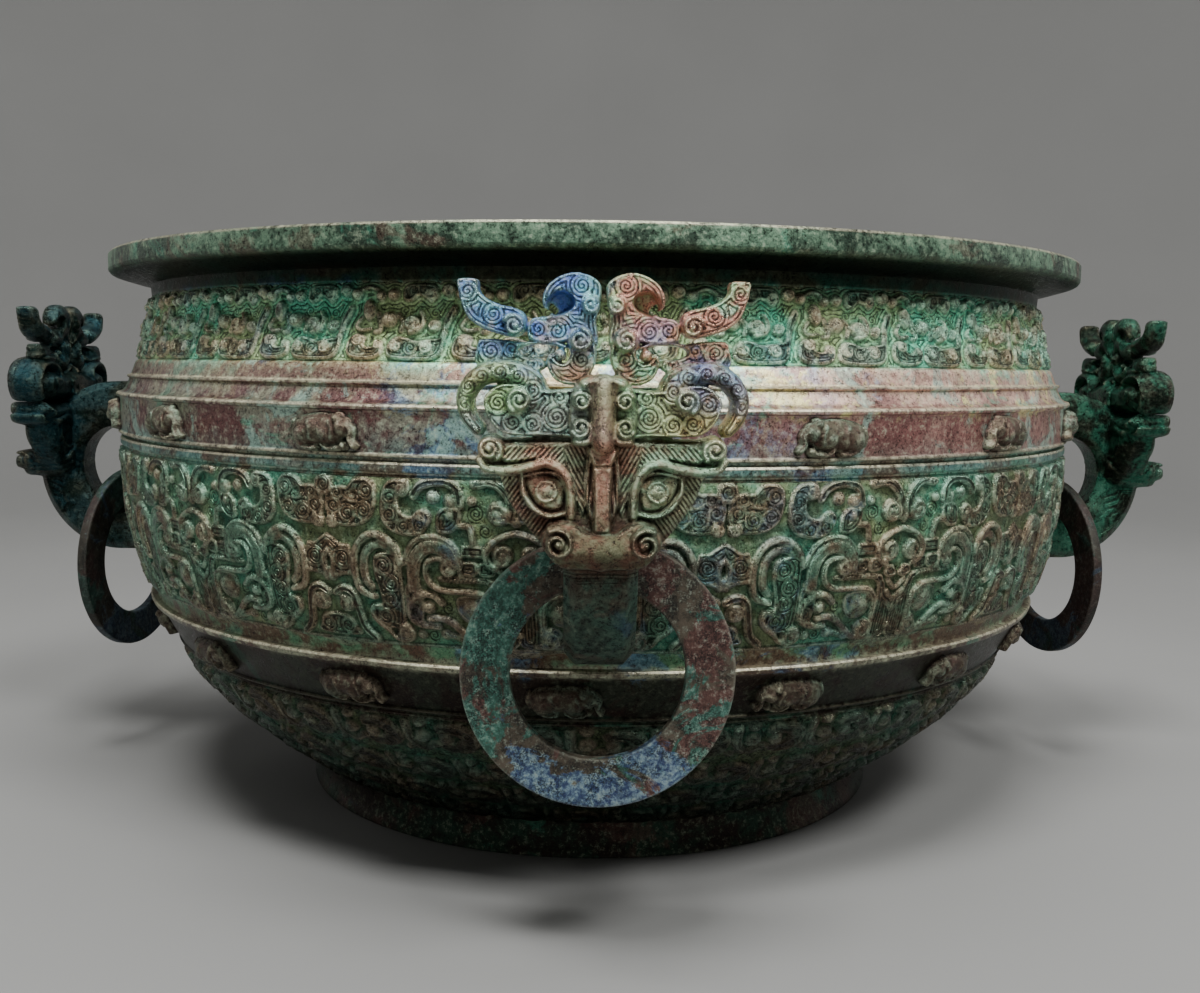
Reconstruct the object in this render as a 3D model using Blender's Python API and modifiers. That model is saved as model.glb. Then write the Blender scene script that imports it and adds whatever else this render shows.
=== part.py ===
"""A bronze basin with four beast-head loop handles, each carrying a loose flat ring.

Metres, +Z up, with the origin at the middle of the foot's underside. The handles point
along -Y, +X, +Y and -X. Sizes are written in millimetres and scaled when a mesh is made.
"""

import math

import bmesh
import bpy
from mathutils import Matrix, Vector

MM = 0.001
GAP = 0.3

# Vessel heights, from the foot up
HEIGHT = 234.0
RIM_THICKNESS = 8.0
RIM_UNDERSIDE_DROP = 4.0
NECK_BOTTOM = 192.5
SHOULDER_RIDGE = 185.5
UPPER_BELT_TOP = 178.5
UPPER_BELT_BOTTOM = 160.5
BODY_TOP = 154.5
BODY_BOTTOM = 92.5
LOWER_BELT_TOP = 88.0
LOWER_BELT_BOTTOM = 62.5
FOOT_HEIGHT = 14.0

# Vessel radii
RIM_RADIUS = 215.0
NECK_RADIUS = 198.3
NECK_BOTTOM_RADIUS = 204.0
SHOULDER_RIDGE_RADIUS = 208.3
UPPER_BELT_RADIUS = 212.3
BODY_RADIUS = 211.0
BODY_BOTTOM_RADIUS = 199.3
LOWER_BELT_RADIUS = 197.6
LOWER_BELT_BOTTOM_RADIUS = 183.2
FOOT_TOP_RADIUS = 129.0
FOOT_RADIUS = 132.0

# Walls and lines
WALL = 4.5
FOOT_WALL = 6.0
FLOOR_THICKNESS = 5.0
RIM_CHAMFER = 0.8
LEDGE = 0.9
GROOVE = 0.9
TURNS = 36

# Shape of the curved bands: the power of each band's inward curve
NECK_CURVE = 1.6
BODY_CURVE = 2.2
BOWL_CURVE = 1.33

# Small animals on the two belts
ANIMALS = 16
ANIMAL_WIDTH = 19.0
ANIMAL_HEIGHT = 12.5
ANIMAL_PROUD = 6.5
UPPER_ANIMALS_TURN = -2.1
LOWER_ANIMALS_TURN = -2.9

# Relief of the main band: mirrored units round the body
UNITS = 10
UNIT_TURN = -7.5
STRAP_WIDTH = 7.0
STRAP_PROUD = 2.2
STRAP_SUNK = 1.6
CURL_UNITS = 12
CURL_PROUD = 1.8
CURL_BAND_LIFT = 12.0
SLOPE_STEP = 3.0
WALL_STEPS = 8

# Handle: the loop, seen from the side. Its reaches start from the widest part of the vessel beside it
HANDLES = 4
ARM_WIDTH = 20.6
ARM_CHAMFER = 3.4
ARM_DEPTH = 20.5
UPPER_ARM_TOP = 180.5
UPPER_ARM_BOTTOM = 159.5
LOWER_ARM_TOP = 122.0
LOWER_ARM_BOTTOM = 101.0
LOOP_STRAIGHT = 12.7
LOOP_CURVE = 16.5
LOOP_MIDDLE_HEIGHT = 142.0
ROOT_CLEARANCE = 0.6
ROOT_STEPS = 3

# Beast head: depths from the loop's front
HEAD_DEPTH = 16.0
FACE_PROUD = 1.0
FOREHEAD_SUNK = 1.0
CROWN_SUNK = 6.5
CROWN_THICKNESS = 8.5
HORN_SUNK = 8.5
HORN_THICKNESS = 6.8
NOSE_PROUD = 5.0
SNOUT_PROUD = 8.0
ORNAMENT_PROUD = 9.0
FEATURE_ROOT = 4.0

# Beast head: heights and half widths
CHIN_HEIGHT = 135.8
BROW_HEIGHT = 171.4
FOREHEAD_HEIGHT = 187.0
CROWN_HEIGHT = 216.4
FACE_HALF_WIDTH = 32.5
FOREHEAD_HALF_WIDTH = 33.0
CROWN_HALF_WIDTH = 39.8
CROWN_HALF_GAP = 1.2
HORN_INSET = 10.5
HORN_RISE = 9.2
HORN_RADIUS = 7.5
HORN_START = 215.0
HORN_END = -55.0
NOSE_HALF_WIDTH = 3.2
NOSE_TOP = 169.0
NOSE_BOTTOM = 145.0
NOSTRIL_SPREAD = 11.4
NOSTRIL_HEIGHT = 144.3
NOSTRIL_RADIUS = 5.0
EYE_SPREAD = 14.8
EYE_HEIGHT = 156.8
EYE_RADIUS = 4.2
BROW_SPREAD = 30.0
BROW_CURL_HEIGHT = 167.6
BROW_CURL_RADIUS = 3.9
ORNAMENT_HALF_WIDTH = 8.6
ORNAMENT_TOP = 186.0
ORNAMENT_BOTTOM = 170.0

# Rings
RING_RADIUS = 42.5
RING_HOLE_RADIUS = 26.8
RING_THICKNESS = 4.6
RING_CHAMFER = 1.0
RING_SIDES = 20
RING_CLEARANCE = 0.6
RING_INSET = 3.5
RING_AXIS_INSET = 1.3
SIDE_RING_TURN = 12.0

BRONZE = (0.10, 0.15, 0.12, 1.0)
RING_BRONZE = (0.11, 0.13, 0.13, 1.0)


def clear_scene():
    for old in list(bpy.data.objects):
        bpy.data.objects.remove(old, do_unlink=True)


def new_collection(name):
    made = bpy.data.collections.new(name)
    bpy.context.scene.collection.children.link(made)
    return made


def material(name, colour, roughness, metallic):
    made = bpy.data.materials.new(name)
    made.use_nodes = True
    shader = made.node_tree.nodes["Principled BSDF"]
    shader.inputs["Base Color"].default_value = colour
    shader.inputs["Roughness"].default_value = roughness
    shader.inputs["Metallic"].default_value = metallic
    return made


def mesh_object(name, bm, collection):
    bmesh.ops.recalc_face_normals(bm, faces=bm.faces)
    mesh = bpy.data.meshes.new(name)
    bm.to_mesh(mesh)
    bm.free()
    made = bpy.data.objects.new(name, mesh)
    collection.objects.link(made)
    return made


def helper(obj):
    """Marks an object that is only joined into another one."""
    obj.hide_render = True
    obj.display_type = "WIRE"
    return obj


def band(top, bottom, top_radius, bottom_radius, power, steps):
    """Points down a curved band that turns inwards towards its bottom."""
    points = []
    for step in range(steps + 1):
        share = step / steps
        radius = top_radius + (bottom_radius - top_radius) * share**power
        points.append((radius, top + (bottom - top) * share))
    return points


def outer_profile():
    """The outside of the vessel from the rim's top edge to the foot, as (radius, height)."""
    rim_bottom = HEIGHT - RIM_THICKNESS
    points = [
        (RIM_RADIUS - RIM_CHAMFER, HEIGHT),
        (RIM_RADIUS, HEIGHT - RIM_CHAMFER),
        (RIM_RADIUS, rim_bottom),
    ]
    neck_top = rim_bottom - RIM_UNDERSIDE_DROP
    points += band(neck_top, NECK_BOTTOM, NECK_RADIUS, NECK_BOTTOM_RADIUS, NECK_CURVE, 2)
    points += [
        (SHOULDER_RIDGE_RADIUS, SHOULDER_RIDGE),
        (UPPER_BELT_RADIUS - LEDGE, UPPER_BELT_TOP + LEDGE),
        (UPPER_BELT_RADIUS, UPPER_BELT_TOP),
        (UPPER_BELT_RADIUS, UPPER_BELT_BOTTOM),
        (BODY_RADIUS - GROOVE, UPPER_BELT_BOTTOM - GROOVE),
        (BODY_RADIUS, UPPER_BELT_BOTTOM - 2 * GROOVE),
    ]
    points += band(BODY_TOP, BODY_BOTTOM, BODY_RADIUS, BODY_BOTTOM_RADIUS, BODY_CURVE, 4)
    points += [
        (BODY_BOTTOM_RADIUS, (BODY_BOTTOM + LOWER_BELT_TOP) / 2),
        (LOWER_BELT_RADIUS, LOWER_BELT_TOP),
        (LOWER_BELT_BOTTOM_RADIUS, LOWER_BELT_BOTTOM),
        (LOWER_BELT_BOTTOM_RADIUS - 2 * GROOVE, LOWER_BELT_BOTTOM - GROOVE),
    ]
    bowl_top = LOWER_BELT_BOTTOM - 2 * GROOVE
    bowl_radius = LOWER_BELT_BOTTOM_RADIUS - GROOVE
    points += band(bowl_top, FOOT_HEIGHT, bowl_radius, FOOT_TOP_RADIUS, BOWL_CURVE, 5)
    points += [(FOOT_RADIUS, GROOVE), (FOOT_RADIUS - GROOVE, 0.0)]
    return points


def radius_at(profile, height):
    """The vessel's outer radius at a height, read from the profile."""
    for (top_radius, top), (low_radius, low) in zip(profile, profile[1:]):
        if low <= height <= top and top > low:
            return low_radius + (top_radius - low_radius) * (height - low) / (top - low)
    return profile[-1][0]


def slope_at(profile, height):
    """How fast the outer radius grows with height, over a short stretch."""
    above = radius_at(profile, height + SLOPE_STEP)
    below = radius_at(profile, height - SLOPE_STEP)
    return (above - below) / (2 * SLOPE_STEP)


def widest(profile, low, high):
    """The vessel's largest outer radius between two heights."""
    inside = [radius for radius, height in profile if low <= height <= high]
    return max([radius_at(profile, low), radius_at(profile, high)] + inside)


def loop_middle_reach(profile):
    """Where the loop starts to curve, clear of everything that its ring hangs beside."""
    return widest(profile, LOWER_BELT_BOTTOM, UPPER_ARM_TOP) + LOOP_STRAIGHT


def arm_reach(profile):
    return loop_middle_reach(profile) + LOOP_CURVE + ARM_DEPTH


def inside_radius(profile, height):
    """The inside's radius at a height, a wall's thickness away from every point of the outside."""
    reaches = []
    for step in range(-WALL_STEPS, WALL_STEPS + 1):
        offset = WALL * step / WALL_STEPS
        reaches.append(radius_at(profile, height + offset) - math.sqrt(WALL**2 - offset**2))
    return min(reaches)


def vessel_profile():
    """The whole turned profile, from the inside's middle up and over the rim to the underside's middle."""
    outer = outer_profile()
    floor_top = FOOT_HEIGHT + FLOOR_THICKNESS / 2
    heights = [floor_top + 2 * WALL, (floor_top + LOWER_BELT_BOTTOM) / 2, LOWER_BELT_TOP]
    heights += [BODY_BOTTOM, (BODY_TOP + BODY_BOTTOM) / 2, BODY_TOP]
    heights += [(UPPER_BELT_TOP + UPPER_BELT_BOTTOM) / 2, NECK_BOTTOM]
    floor_radius = FOOT_TOP_RADIUS - WALL
    points = [(0.0, floor_top), (floor_radius, floor_top + WALL / 2)]
    points += [(inside_radius(outer, height), height) for height in heights]
    points.append((NECK_RADIUS - WALL, HEIGHT - RIM_THICKNESS))
    points.append((NECK_RADIUS - WALL, HEIGHT))
    points += outer
    inner_foot = FOOT_RADIUS - FOOT_WALL
    underside = floor_top - FLOOR_THICKNESS
    points += [(inner_foot, 0.0), (FOOT_TOP_RADIUS - FOOT_WALL, underside), (0.0, underside)]
    return points


def wall_point(profile, degrees, height, proud):
    """A point on the vessel's outside, lifted off it along its own normal."""
    angle = math.radians(degrees)
    slope = slope_at(profile, height)
    lean = math.sqrt(1 + slope**2)
    reach = radius_at(profile, height) + proud / lean
    level = height - proud * slope / lean
    return Vector((reach * math.sin(angle), -reach * math.cos(angle), level)) * MM


def wall_strap(bm, profile, path, width, proud):
    """A raised strap along a path of (degrees, height) points, sunk a little into the wall."""
    rows = []
    for index, (degrees, height) in enumerate(path):
        before = path[max(index - 1, 0)]
        after = path[min(index + 1, len(path) - 1)]
        mean_radius = radius_at(profile, height)
        nearby = (before, path[index], after)
        spots = [Vector((math.radians(turn) * mean_radius, level)) for turn, level in nearby]
        runs = [run.normalized() for run in (spots[1] - spots[0], spots[2] - spots[1]) if run.length > 0]
        along, up = (runs[0] + runs[-1]).normalized()
        reach = width / 2 / (Vector((along, up)) @ runs[0])
        side_degrees = math.degrees(-up * reach / mean_radius)
        side_height = along * reach
        row = []
        for side, lift in ((1, -STRAP_SUNK), (1, proud), (-1, proud), (-1, -STRAP_SUNK)):
            spot = (degrees + side * side_degrees, height + side * side_height)
            row.append(bm.verts.new(wall_point(profile, *spot, lift)))
        rows.append(row)
    for first, second in zip(rows, rows[1:]):
        for corner in range(4):
            following = (corner + 1) % 4
            bm.faces.new((first[corner], first[following], second[following], second[corner]))
    bm.faces.new(rows[0])
    bm.faces.new(reversed(rows[-1]))


def meets_arm(profile, path):
    """Whether a strap on the body would run into the lower root of a handle."""
    for degrees, height in path:
        off_axis = (degrees + 180.0 / HANDLES) % (360.0 / HANDLES) - 180.0 / HANDLES
        sideways = abs(math.radians(off_axis)) * radius_at(profile, height)
        beside = sideways < ARM_WIDTH / 2 + STRAP_WIDTH
        if beside and height < LOWER_ARM_TOP + STRAP_WIDTH:
            return True
    return False


def body_relief(profile, collection):
    """The main band's bold straps: in each half unit a hooked strap, and half of the mask's brow."""
    bm = bmesh.new()
    half = 180.0 / UNITS
    depth = BODY_TOP - BODY_BOTTOM
    hook = [(0.56, 0.10), (0.56, 0.58), (0.84, 0.58), (0.84, 0.16)]
    curl = [(0.40, 0.84), (0.10, 0.62)]
    for unit in range(UNITS):
        axis = UNIT_TURN + unit * 2 * half
        for side in (1, -1):
            for shape in (hook, curl):
                path = [(axis + side * across * half, BODY_BOTTOM + up * depth) for across, up in shape]
                if not meets_arm(profile, path):
                    wall_strap(bm, profile, path, STRAP_WIDTH, STRAP_PROUD)
    return helper(mesh_object("body_relief", bm, collection))


def curl_relief(profile, collection):
    """A short slanted curl in every tile of the neck band and of the bowl's lower band."""
    bm = bmesh.new()
    step = 360.0 / CURL_UNITS
    neck_top = HEIGHT - RIM_THICKNESS - RIM_UNDERSIDE_DROP
    bands = ((neck_top, NECK_BOTTOM), (LOWER_BELT_BOTTOM, FOOT_HEIGHT + CURL_BAND_LIFT))
    for top, bottom in bands:
        for tile in range(CURL_UNITS):
            centre = tile * step
            slant = [(-0.26, 0.22), (0.0, 0.49), (0.26, 0.76)]
            path = [(centre + across * step, bottom + up * (top - bottom)) for across, up in slant]
            wall_strap(bm, profile, path, STRAP_WIDTH, CURL_PROUD)
    return helper(mesh_object("curl_relief", bm, collection))


def animals(profile, name, height, turn, under_handles, collection):
    """A belt of small crouching animals, as rounded backs that taper outwards."""
    bm = bmesh.new()
    tilt = math.atan(slope_at(profile, height))
    for index in range(ANIMALS):
        if index % (ANIMALS // HANDLES) == 0 and not under_handles:
            continue
        angle = math.radians(turn + index * 360.0 / ANIMALS)
        place = Matrix.Rotation(angle, 4, "Z")
        place = place @ Matrix.Translation((0, -radius_at(profile, height) * MM, height * MM))
        place = place @ Matrix.Rotation(tilt, 4, "X") @ Matrix.Rotation(math.pi / 2, 4, "X")
        size = Matrix.Diagonal((ANIMAL_WIDTH / 2 * MM, ANIMAL_HEIGHT / 2 * MM, ANIMAL_PROUD * MM, 1))
        bmesh.ops.create_cone(
            bm,
            cap_ends=True,
            segments=6,
            radius1=1,
            radius2=0.6,
            depth=1.6,
            matrix=place @ size @ Matrix.Translation((0, 0, 0.2)),
        )
    return helper(mesh_object(name, bm, collection))


def join_into(obj, helpers, title):
    """Unions each helper into the object."""
    for index, other in enumerate(helpers):
        union = obj.modifiers.new(f"{title} {index}", "BOOLEAN")
        union.operation = "UNION"
        union.solver = "MANIFOLD"
        union.object = other


def build_vessel(profile, parts, cutters, bronze):
    bm = bmesh.new()
    row = [bm.verts.new((radius * MM, 0, height * MM)) for radius, height in vessel_profile()]
    for first, second in zip(row, row[1:]):
        bm.edges.new((first, second))
    mesh = bpy.data.meshes.new("vessel")
    bm.to_mesh(mesh)
    bm.free()
    vessel = bpy.data.objects.new("vessel", mesh)
    parts.objects.link(vessel)
    mesh.materials.append(bronze)
    turned = vessel.modifiers.new("turned", "SCREW")
    turned.axis = "Z"
    turned.angle = 2 * math.pi
    turned.steps = TURNS
    turned.render_steps = TURNS
    turned.use_merge_vertices = True
    turned.merge_threshold = 0.00001
    turned.use_smooth_shade = True
    upper = (UPPER_BELT_TOP + UPPER_BELT_BOTTOM) / 2
    lower = (LOWER_BELT_TOP + LOWER_BELT_BOTTOM) / 2
    helpers = [
        animals(profile, "upper_animals", upper, UPPER_ANIMALS_TURN, False, cutters),
        animals(profile, "lower_animals", lower, LOWER_ANIMALS_TURN, True, cutters),
        body_relief(profile, cutters),
        curl_relief(profile, cutters),
    ]
    join_into(vessel, helpers, "relief")
    return vessel


def to_mesh(curve_object, collection):
    """The closed mesh of a curve object, in its place."""
    graph = bpy.context.evaluated_depsgraph_get()
    mesh = bpy.data.meshes.new_from_object(curve_object.evaluated_get(graph))
    bm = bmesh.new()
    bm.from_mesh(mesh)
    bmesh.ops.transform(bm, matrix=curve_object.matrix_world, verts=bm.verts)
    bmesh.ops.remove_doubles(bm, verts=bm.verts, dist=0.00001)
    made = mesh_object(curve_object.name + "_solid", bm, collection)
    bpy.data.objects.remove(curve_object, do_unlink=True)
    return made


def flat_curve(name, outlines, half_thickness, chamfer, collection):
    """A filled outline, with any holes after it, as a 2D curve with some thickness."""
    curve = bpy.data.curves.new(name, "CURVE")
    curve.dimensions = "2D"
    curve.fill_mode = "BOTH"
    curve.extrude = (half_thickness - chamfer) * MM
    curve.bevel_depth = chamfer * MM
    curve.bevel_resolution = 0
    curve.offset = -chamfer * MM
    for outline in outlines:
        spline = curve.splines.new("POLY")
        spline.points.add(len(outline) - 1)
        for point, (across, up) in zip(spline.points, outline):
            point.co = (across * MM, up * MM, 0, 1)
        spline.use_cyclic_u = True
    made = bpy.data.objects.new(name, curve)
    collection.objects.link(made)
    return made


def plate(name, outlines, back, front, collection):
    """A flat plate that faces outwards on the front handle, between two distances from the vessel's axis."""
    made = flat_curve(name, outlines, (front - back) / 2, 0.0, collection)
    made.rotation_euler.x = math.pi / 2
    made.location.y = -(back + front) / 2 * MM
    bpy.context.view_layer.update()
    return to_mesh(made, collection)


def mirrored(outline):
    return [(-across, up) for across, up in reversed(outline)]


def both_sides(outline):
    """A closed outline from its right half, which starts and ends on the middle line or beside it."""
    return outline + mirrored(outline)


def quarter(middle, reach, rise, start, end, steps):
    """Points on a quarter of an ellipse, by angle in degrees."""
    points = []
    for step in range(steps + 1):
        angle = math.radians(start + (end - start) * step / steps)
        points.append((middle[0] + reach * math.cos(angle), middle[1] + rise * math.sin(angle)))
    return points


def arm_outline(profile):
    """The loop from the side: distance from the vessel's axis against height."""
    middle = (loop_middle_reach(profile), LOOP_MIDDLE_HEIGHT)
    upper_root = widest(profile, UPPER_ARM_BOTTOM, UPPER_ARM_TOP) + GAP
    front = arm_reach(profile)
    rise = UPPER_ARM_BOTTOM - LOOP_MIDDLE_HEIGHT
    fall = LOOP_MIDDLE_HEIGHT - LOWER_ARM_TOP
    points = [(upper_root, UPPER_ARM_TOP), (upper_root, UPPER_ARM_BOTTOM)]
    points += quarter(middle, LOOP_CURVE, rise, 90, 0, 2)
    points += quarter(middle, LOOP_CURVE, fall, 0, -90, 2)[1:]
    for step in range(ROOT_STEPS + 1):
        height = LOWER_ARM_TOP + step / ROOT_STEPS * (LOWER_ARM_BOTTOM - LOWER_ARM_TOP)
        points.append((radius_at(profile, height) + ROOT_CLEARANCE, height))
    outer_fall = LOOP_MIDDLE_HEIGHT - LOWER_ARM_BOTTOM
    points += quarter(middle, LOOP_CURVE + ARM_DEPTH, outer_fall, -90, 0, 3)
    points += [(front - GAP, BROW_HEIGHT), (front - HEAD_DEPTH + GAP, UPPER_ARM_TOP - GAP)]
    return points


def arm(profile, name, collection):
    side = flat_curve("arm", [arm_outline(profile)], ARM_WIDTH / 2, ARM_CHAMFER, collection)
    turn = Matrix(((0, 0, 1, 0), (-1, 0, 0, 0), (0, 1, 0, 0), (0, 0, 0, 1)))
    side.matrix_world = turn
    bpy.context.view_layer.update()
    solid = to_mesh(side, collection)
    solid.name = name
    return solid


def disc(name, across, height, radius, back, front, collection):
    """A six-sided boss that faces outwards."""
    outline = [
        (across + radius * math.cos(math.radians(a)), height + radius * math.sin(math.radians(a)))
        for a in range(0, 360, 60)
    ]
    return plate(name, [outline], back, front, collection)


def horn(name, side, depth, collection):
    """One curled horn beside the forehead."""
    curve = bpy.data.curves.new(name, "CURVE")
    curve.dimensions = "3D"
    curve.bevel_depth = HORN_THICKNESS / 2 * MM
    curve.bevel_resolution = 0
    curve.use_fill_caps = True
    middle = (CROWN_HALF_WIDTH - HORN_INSET, BROW_HEIGHT + HORN_RISE)
    route = quarter(middle, HORN_RADIUS, HORN_RADIUS, HORN_START, HORN_END, 5)
    spline = curve.splines.new("POLY")
    spline.points.add(len(route) - 1)
    for point, (across, up) in zip(spline.points, route):
        point.co = (side * across * MM, -depth * MM, up * MM, 1)
    made = bpy.data.objects.new(name, curve)
    collection.objects.link(made)
    bpy.context.view_layer.update()
    return to_mesh(made, collection)


def from_shares(shares, half_width, low, high):
    """An outline given as shares of a half width, and of the way from one height to another."""
    return [(across * half_width, low + up * (high - low)) for across, up in shares]


def crown_outlines():
    """The right half of the openwork crown: its outline, the eye of the top curl and the slit below."""
    middle = CROWN_HALF_GAP / CROWN_HALF_WIDTH
    outline = [
        (middle, -0.05),
        (0.85, 0.05),
        (0.85, 0.31),
        (0.99, 0.65),
        (1.0, 0.88),
        (0.85, 0.87),
        (0.775, 0.68),
        (0.55, 0.58),
        (0.42, 0.59),
        (0.41, 0.83),
        (0.22, 1.0),
        (middle, 0.865),
    ]
    eye = [(0.226, 0.59), (0.352, 0.605), (0.352, 0.73), (0.226, 0.74)]
    slit = [(0.365, 0.177), (0.63, 0.156), (0.63, 0.272), (0.39, 0.28)]
    shapes = (outline, eye, slit)
    return [from_shares(shape, CROWN_HALF_WIDTH, FOREHEAD_HEIGHT, CROWN_HEIGHT) for shape in shapes]


def head(front, collection):
    """Everything that the loop carries: face, forehead, horns, crown, nose, snout, eyes and brow curls."""
    face_shares = [(0.37, 0.0), (0.486, 0.07), (0.523, 0.25), (0.80, 0.635), (1.0, 0.865), (0.954, 1.0)]
    forehead_shares = [(0.94, 0.0), (1.0, 0.32), (0.91, 0.744), (0.455, 1.0)]
    ornament_shares = [(0.767, 0.0), (1.0, 0.25), (1.0, 0.75), (0.35, 1.0)]
    face = from_shares(face_shares, FACE_HALF_WIDTH, CHIN_HEIGHT, BROW_HEIGHT)
    forehead = from_shares(forehead_shares, FOREHEAD_HALF_WIDTH, BROW_HEIGHT, FOREHEAD_HEIGHT)
    ornament = from_shares(ornament_shares, ORNAMENT_HALF_WIDTH, ORNAMENT_BOTTOM, ORNAMENT_TOP)
    nose = [(NOSE_HALF_WIDTH, NOSE_BOTTOM), (NOSE_HALF_WIDTH, NOSE_TOP)]
    snout = [(NOSTRIL_SPREAD, CHIN_HEIGHT + GAP), (NOSTRIL_SPREAD, NOSTRIL_HEIGHT + NOSTRIL_RADIUS / 2)]
    crown = crown_outlines()
    back = front - HEAD_DEPTH
    face_front = front + FACE_PROUD
    root = face_front - FEATURE_ROOT
    crown_depths = (front - CROWN_SUNK - CROWN_THICKNESS, front - CROWN_SUNK)
    solids = [
        plate("face", [both_sides(face)], back, face_front, collection),
        plate("forehead", [both_sides(forehead)], back + FACE_PROUD, front - FOREHEAD_SUNK, collection),
        plate("nose", [both_sides(nose)], root, front + NOSE_PROUD, collection),
        plate("ornament", [both_sides(ornament)], root, front + ORNAMENT_PROUD, collection),
        plate("snout", [both_sides(snout)], root, front + (NOSE_PROUD + SNOUT_PROUD) / 2, collection),
        plate("right_crown", crown, *crown_depths, collection),
        plate("left_crown", [mirrored(shape) for shape in crown], *crown_depths, collection),
    ]
    for side in (1, -1):
        nostril = (side * NOSTRIL_SPREAD, NOSTRIL_HEIGHT, NOSTRIL_RADIUS)
        eye = (side * EYE_SPREAD, EYE_HEIGHT, EYE_RADIUS)
        curl = (side * BROW_SPREAD, BROW_CURL_HEIGHT, BROW_CURL_RADIUS)
        solids += [
            disc("nostril", *nostril, root, front + SNOUT_PROUD, collection),
            disc("eye", *eye, root, front + 2 * FACE_PROUD, collection),
            disc("brow_curl", *curl, root - FEATURE_ROOT, front + 2 * FACE_PROUD, collection),
            horn("horn", side, front - HORN_SUNK, collection),
        ]
    return solids


def build_handles(profile, parts, cutters, bronze):
    names = ("handle_front", "handle_right", "handle_back", "handle_left")
    first = arm(profile, names[0], cutters)
    join_into(first, [helper(solid) for solid in head(arm_reach(profile), cutters)], "head")
    bpy.context.view_layer.update()
    graph = bpy.context.evaluated_depsgraph_get()
    mesh = bpy.data.meshes.new_from_object(first.evaluated_get(graph))
    mesh.materials.clear()
    mesh.materials.append(bronze)
    bpy.data.objects.remove(first, do_unlink=True)
    for index, name in enumerate(names):
        handle = bpy.data.objects.new(name, mesh)
        handle.rotation_euler.z = index * 2 * math.pi / HANDLES
        parts.objects.link(handle)


def ring_mesh(bronze):
    """A flat ring around its own hinge line, hanging down in its own XZ plane."""
    half = RING_THICKNESS / 2
    section = [
        (RING_HOLE_RADIUS, half - RING_CHAMFER),
        (RING_HOLE_RADIUS + RING_CHAMFER, half),
        (RING_RADIUS, half),
        (RING_RADIUS, -half),
        (RING_HOLE_RADIUS + RING_CHAMFER, -half),
        (RING_HOLE_RADIUS, RING_CHAMFER - half),
    ]
    drop = RING_HOLE_RADIUS + RING_AXIS_INSET
    bm = bmesh.new()
    rows = []
    for side in range(RING_SIDES):
        angle = 2 * math.pi * side / RING_SIDES
        rows.append([
            bm.verts.new((r * math.sin(angle) * MM, out * MM, (r * math.cos(angle) - drop) * MM))
            for r, out in section
        ])
    for index, row in enumerate(rows):
        following = rows[(index + 1) % RING_SIDES]
        for corner in range(len(section)):
            after = (corner + 1) % len(section)
            bm.faces.new((row[corner], row[after], following[after], following[corner]))
    bmesh.ops.recalc_face_normals(bm, faces=bm.faces)
    mesh = bpy.data.meshes.new("ring")
    bm.to_mesh(mesh)
    bm.free()
    mesh.materials.append(bronze)
    return mesh


def build_rings(profile, parts, bronze):
    """Each ring's origin is on its hinge line, just above the lower arm."""
    mesh = ring_mesh(bronze)
    flat = ARM_WIDTH / 2 - ARM_CHAMFER
    sag = RING_HOLE_RADIUS - math.sqrt(RING_HOLE_RADIUS**2 - flat**2)
    hinge_height = LOWER_ARM_TOP + sag + RING_CLEARANCE + RING_AXIS_INSET
    reach = loop_middle_reach(profile) - RING_INSET
    names = ("ring_front", "ring_right", "ring_back", "ring_left")
    turns = (0.0, SIDE_RING_TURN, 0.0, -SIDE_RING_TURN)
    for index, (name, turn) in enumerate(zip(names, turns)):
        angle = index * 2 * math.pi / HANDLES
        ring = bpy.data.objects.new(name, mesh)
        ring.location = Vector((reach * math.sin(angle), -reach * math.cos(angle), hinge_height)) * MM
        ring.rotation_euler.z = angle + math.radians(turn)
        parts.objects.link(ring)


def main():
    clear_scene()
    parts = new_collection("beast_handled_basin")
    cutters = new_collection("cutters")
    bronze = material("patinated bronze", BRONZE, 0.55, 0.6)
    ring_bronze = material("crusted ring bronze", RING_BRONZE, 0.65, 0.5)
    profile = outer_profile()
    build_vessel(profile, parts, cutters, bronze)
    build_handles(profile, parts, cutters, bronze)
    build_rings(profile, parts, ring_bronze)


main()
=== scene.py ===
"""The looks of a bronze basin with beast-head handles and loose rings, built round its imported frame."""

import math

import bpy
import numpy as np
import openvdb
from mathutils import Matrix, Vector


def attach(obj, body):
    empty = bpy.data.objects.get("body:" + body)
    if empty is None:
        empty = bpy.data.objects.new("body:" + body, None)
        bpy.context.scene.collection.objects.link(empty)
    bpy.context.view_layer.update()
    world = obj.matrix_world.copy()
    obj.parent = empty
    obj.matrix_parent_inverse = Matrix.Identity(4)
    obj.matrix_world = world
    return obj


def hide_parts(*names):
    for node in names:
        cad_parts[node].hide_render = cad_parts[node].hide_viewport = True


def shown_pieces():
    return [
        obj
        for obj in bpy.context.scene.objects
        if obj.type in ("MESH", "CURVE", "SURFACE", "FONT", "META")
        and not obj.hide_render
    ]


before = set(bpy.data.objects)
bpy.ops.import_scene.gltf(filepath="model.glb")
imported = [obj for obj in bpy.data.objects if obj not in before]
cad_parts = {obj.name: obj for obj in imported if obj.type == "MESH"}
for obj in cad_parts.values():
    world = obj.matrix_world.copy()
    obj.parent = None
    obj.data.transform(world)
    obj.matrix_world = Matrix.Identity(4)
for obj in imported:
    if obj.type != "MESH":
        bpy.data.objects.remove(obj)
for kind, name in (("MESH", "Cube"), ("LIGHT", "Light"), ("CAMERA", "Camera")):
    leftover = bpy.data.objects.get(name)
    if leftover and leftover.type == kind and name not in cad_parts:
        bpy.data.objects.remove(leftover)
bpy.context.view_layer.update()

MM = 0.001
TURN = 2 * math.pi
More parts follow.
